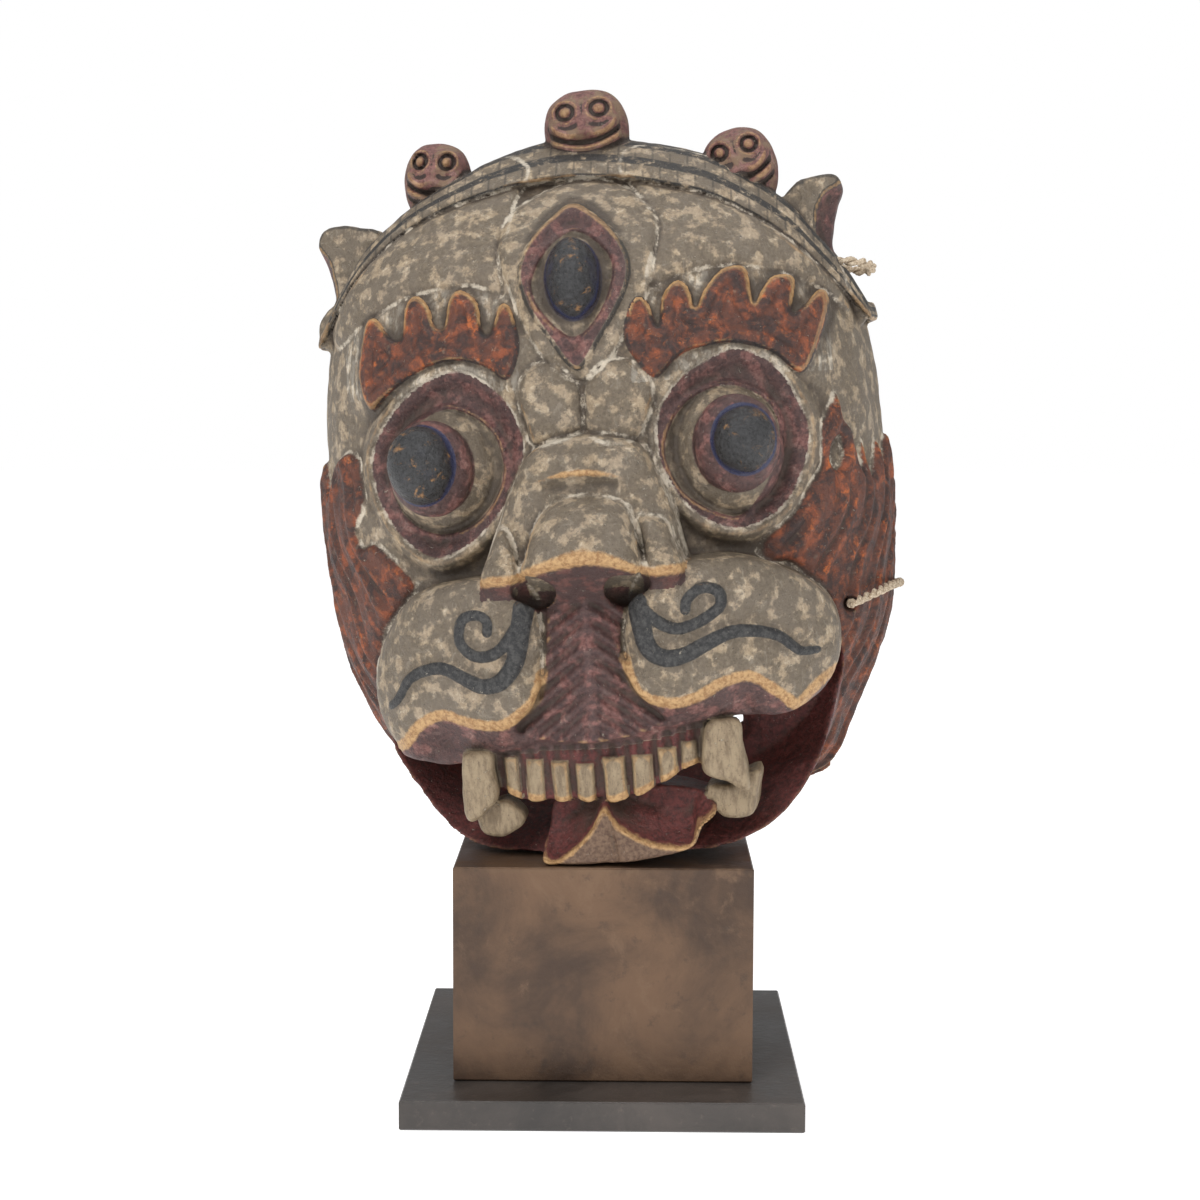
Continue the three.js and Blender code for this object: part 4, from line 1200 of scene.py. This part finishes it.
    # moustaches and pupils
    ink = s.mix(s.ramp(grain, 0.40, 0.66), paints["black"], paints["blackPale"])
    color = s.mix(inside("black", 0.3, 0.35), color, ink)
    blue = s.ramp(s.plus(s.times(s.read("rise"), -1.0), s.times(fray, 0.05)), -0.30, 0.10)
    eye = s.mix(blue, s.mix(s.ramp(grain, 0.42, 0.7), paints["black"], (0.05, 0.05, 0.052)), paints["blue"])
    rub = s.ramp(s.plus(s.noise(spot, 0.12, 7, 0.75, 0.6), s.times(s.read("rise"), 0.10)), 0.60, 0.70, 0.85)
    eye = s.mix(rub, eye, paints["goldDark"])
    onPupil = inside("pupil", 0.3, 0.25)
    color = s.mix(onPupil, color, eye)

    # chalky ground showing in the cuts
    cut = s.ramp(s.plus(s.read("chalk"), s.times(fray, 1.1)), 1.5, 0.3)
    cut = s.times(cut, s.ramp(s.noise(spot, 0.10, 6, 0.7), 0.40, 0.60, 0.75))
    color = s.mix(cut, color, paints["chalk"])
    flecks = s.times(s.ramp(s.noise(spot, 0.33, 7, 0.8, 0.4), 0.62, 0.66), s.ramp(onPupil, 0.6, 0.2))
    color = s.mix(s.times(flecks, 0.55), color, paints["chalk"])

    # wood worn bare and polished on the proud edges
    tan = s.mix(s.ramp(grain, 0.36, 0.6), paints["goldDark"], paints["gold"])
    worn = s.ramp(s.plus(s.read("wear"), s.times(fray, 0.9)), -0.2, 1.4)
    proud = s.ramp(s.plus(edge, s.times(fray, 0.22)), 0.60, 1.10)
    proud = s.times(proud, s.ramp(s.read("pupil"), 0.5, -0.5))
    color = s.mix(s.math("MAXIMUM", s.times(worn, 0.9), s.times(proud, 0.45)), color, tan)

    # painted shade in the hollows: darker where the surface lies lower than its surroundings, kept out of
    # the chalky cuts
    deep = s.ramp(s.plus(s.times(rise, -1.0), s.times(fray, 0.06)), 0.12, 0.75, 0.75)
    color = s.mix(s.times(deep, s.ramp(cut, 0.7, 0.1)), color, paints["hollowShade"])

    # bare wood inside
    woodGrain = s.noise(spot, 0.10, 6, 0.65, 0.5, (1.0, 1.0, 0.12))
    wood = s.mix(s.ramp(woodGrain, 0.38, 0.62), paints["bare"], paints["barePale"])
    bare = s.ramp(s.plus(s.read("bare"), s.times(fray, 1.2)), -0.6, 0.6)
    color = s.mix(bare, color, wood)

    gloss = s.ramp(grain, 0.35, 0.65, 0.14)
    rough = s.plus(0.46, gloss)
    rough = s.math("SUBTRACT", rough, s.times(onPupil, 0.22))
    rough = s.plus(rough, s.times(s.math("MAXIMUM", cut, bare), 0.25))
    chisel = s.cells(s.noise(spot, 0.06, 2, 0.5), 5.0)
    height = s.plus(s.times(grain, 0.5), s.times(s.noise(spot, 0.16, 6, 0.7), 0.9))
    height = s.plus(height, s.times(chisel, 0.25))
    height = s.plus(height, s.times(flecks, -0.18))
    normal = s.bump(height, 0.0016)
    s.shader.inputs["Specular IOR Level"].default_value = 0.42
    return s.finish(color, rough, normal)


mask.data.materials.append(maskPaint())


def objectSpot(s):
    node = s.tree.nodes.new("ShaderNodeTexCoord")
    return node.outputs["Object"]


def patina():
    # brown bronze, mottled and rubbed
    s = Sheet("blockPatina")
    at = objectSpot(s)
    cloud = s.noise(at, 16, 8, 0.62, 0.5)
    fine = s.noise(at, 120, 6, 0.7)
    color = s.mix(s.ramp(cloud, 0.36, 0.66), (0.058, 0.034, 0.022), (0.155, 0.090, 0.052))
    color = s.mix(s.ramp(s.noise(at, 34, 7, 0.7, 0.4), 0.54, 0.68, 0.55), color, (0.19, 0.115, 0.068))
    color = s.mix(s.ramp(fine, 0.55, 0.72, 0.5), color, (0.05, 0.034, 0.026))
    s.shader.inputs["Metallic"].default_value = 0.35
    rough = s.plus(0.34, s.ramp(cloud, 0.35, 0.65, 0.18))
    return s.finish(color, rough, s.bump(s.plus(fine, cloud), 0.0005))


def plateStain():
    s = Sheet("plateStain")
    at = objectSpot(s)
    cloud = s.noise(at, 12, 8, 0.66, 0.4)
    fine = s.noise(at, 160, 6, 0.7)
    color = s.mix(s.ramp(cloud, 0.36, 0.66), (0.034, 0.029, 0.026), (0.075, 0.062, 0.054))
    color = s.mix(s.ramp(fine, 0.56, 0.72, 0.5), color, (0.12, 0.095, 0.08))
    rough = s.plus(0.30, s.ramp(cloud, 0.35, 0.65, 0.16))
    return s.finish(color, rough, s.bump(fine, 0.0004))


def steelPaint():
    s = Sheet("blackSteel")
    at = objectSpot(s)
    grit = s.noise(at, 300, 4, 0.6)
    color = s.mix(s.ramp(grit, 0.4, 0.7), (0.012, 0.012, 0.012), (0.030, 0.029, 0.028))
    return s.finish(color, s.plus(0.42, s.ramp(grit, 0.4, 0.6, 0.15)), s.bump(grit, 0.0003))


def fibrePaint():
    s = Sheet("twistedFibre")
    at = objectSpot(s)
    hair = s.noise(at, 900, 5, 0.7)
    dust = s.noise(at, 140, 4, 0.6)
    color = s.mix(s.ramp(hair, 0.36, 0.64), (0.36, 0.26, 0.17), (0.72, 0.61, 0.46))
    color = s.mix(s.ramp(dust, 0.52, 0.7, 0.5), color, (0.27, 0.20, 0.14))
    return s.finish(color, 0.9, s.bump(hair, 0.0006))


for node, paint in (("plinth_block", patina()), ("base_plate", plateStain()),
                    ("support_post", steelPaint())):
    piece = frame["nodes"][node] if isinstance(frame["nodes"], dict) else bpy.data.objects[node]
    piece.data.materials.clear()
    piece.data.materials.append(paint)


# ties of twisted fibre through the holes

ties = {
    "cordJaw": {
        "node": "cord_jaw", "width": 1.7,
        "route": [(131, -86, -66), (138, -78, -64), (146, -66, -62), (153, -48, -61), (158, -24, -62),
                  (157, -2, -64), (148, 7, -66), (138, 0, -68), (133, -20, -69), (131, -50, -68)],
    },
    "cordEar": {
        "node": "cord_ear", "width": 1.8,
        "route": [(130, -40, 112), (137, -47, 112), (146, -46, 111), (152, -34, 109), (150, -20, 107),
                  (141, -14, 109), (131, -20, 111)],
    },
}


def twistedTie(name, node, route, width):
    # two strands laid round each other along a closed route
    line = spline(route, True, 16)
    n = len(line)
    ahead = np.roll(line, -1, 0) - np.roll(line, 1, 0)
    ahead /= np.linalg.norm(ahead, axis=1)[:, None]
    up = np.cross(ahead, np.array([0.0, 0.3, 1.0]))
    up /= np.linalg.norm(up, axis=1)[:, None]
    out = np.cross(ahead, up)
    gaps = np.linalg.norm(np.diff(np.vstack([line, line[:1]]), axis=0), axis=1)
    run = np.concatenate([[0], np.cumsum(gaps)])
    turns = round(run[-1] / 15.0)
    mesh = bpy.data.meshes.new(name)
    form = bmesh.new()
    sides = 8
    for strand in (0, math.pi):
        rings = []
        for i in range(n):
            lay = 2 * math.pi * turns * run[i] / run[-1] + strand
            centre = line[i] + (out[i] * math.cos(lay) + up[i] * math.sin(lay)) * width * 0.72
            ring = []
            for k in range(sides):
                a = 2 * math.pi * k / sides + lay
                rough = width * (0.78 + 0.05 * math.sin(7 * a + i * 1.9))
                ring.append(form.verts.new(centre + (out[i] * math.cos(a) + up[i] * math.sin(a)) * rough))
            rings.append(ring)
        for i in range(n):
            for k in range(sides):
                a, b = rings[i], rings[(i + 1) % n]
                form.faces.new((a[k], a[(k + 1) % sides], b[(k + 1) % sides], b[k]))
    bmesh.ops.recalc_face_normals(form, faces=form.faces)
    form.to_mesh(mesh)
    form.free()
    mesh.transform(poseMatrix() @ Matrix.Scale(mm, 4))
    mesh.shade_smooth()
    piece = bpy.data.objects.new(name, mesh)
    bpy.context.collection.objects.link(piece)
    mesh.materials.append(fibre)
    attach(piece, "root")
    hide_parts(node)


fibre = fibrePaint()
for name, tie in ties.items():
    twistedTie(name, **tie)
print("materials and ties are made")
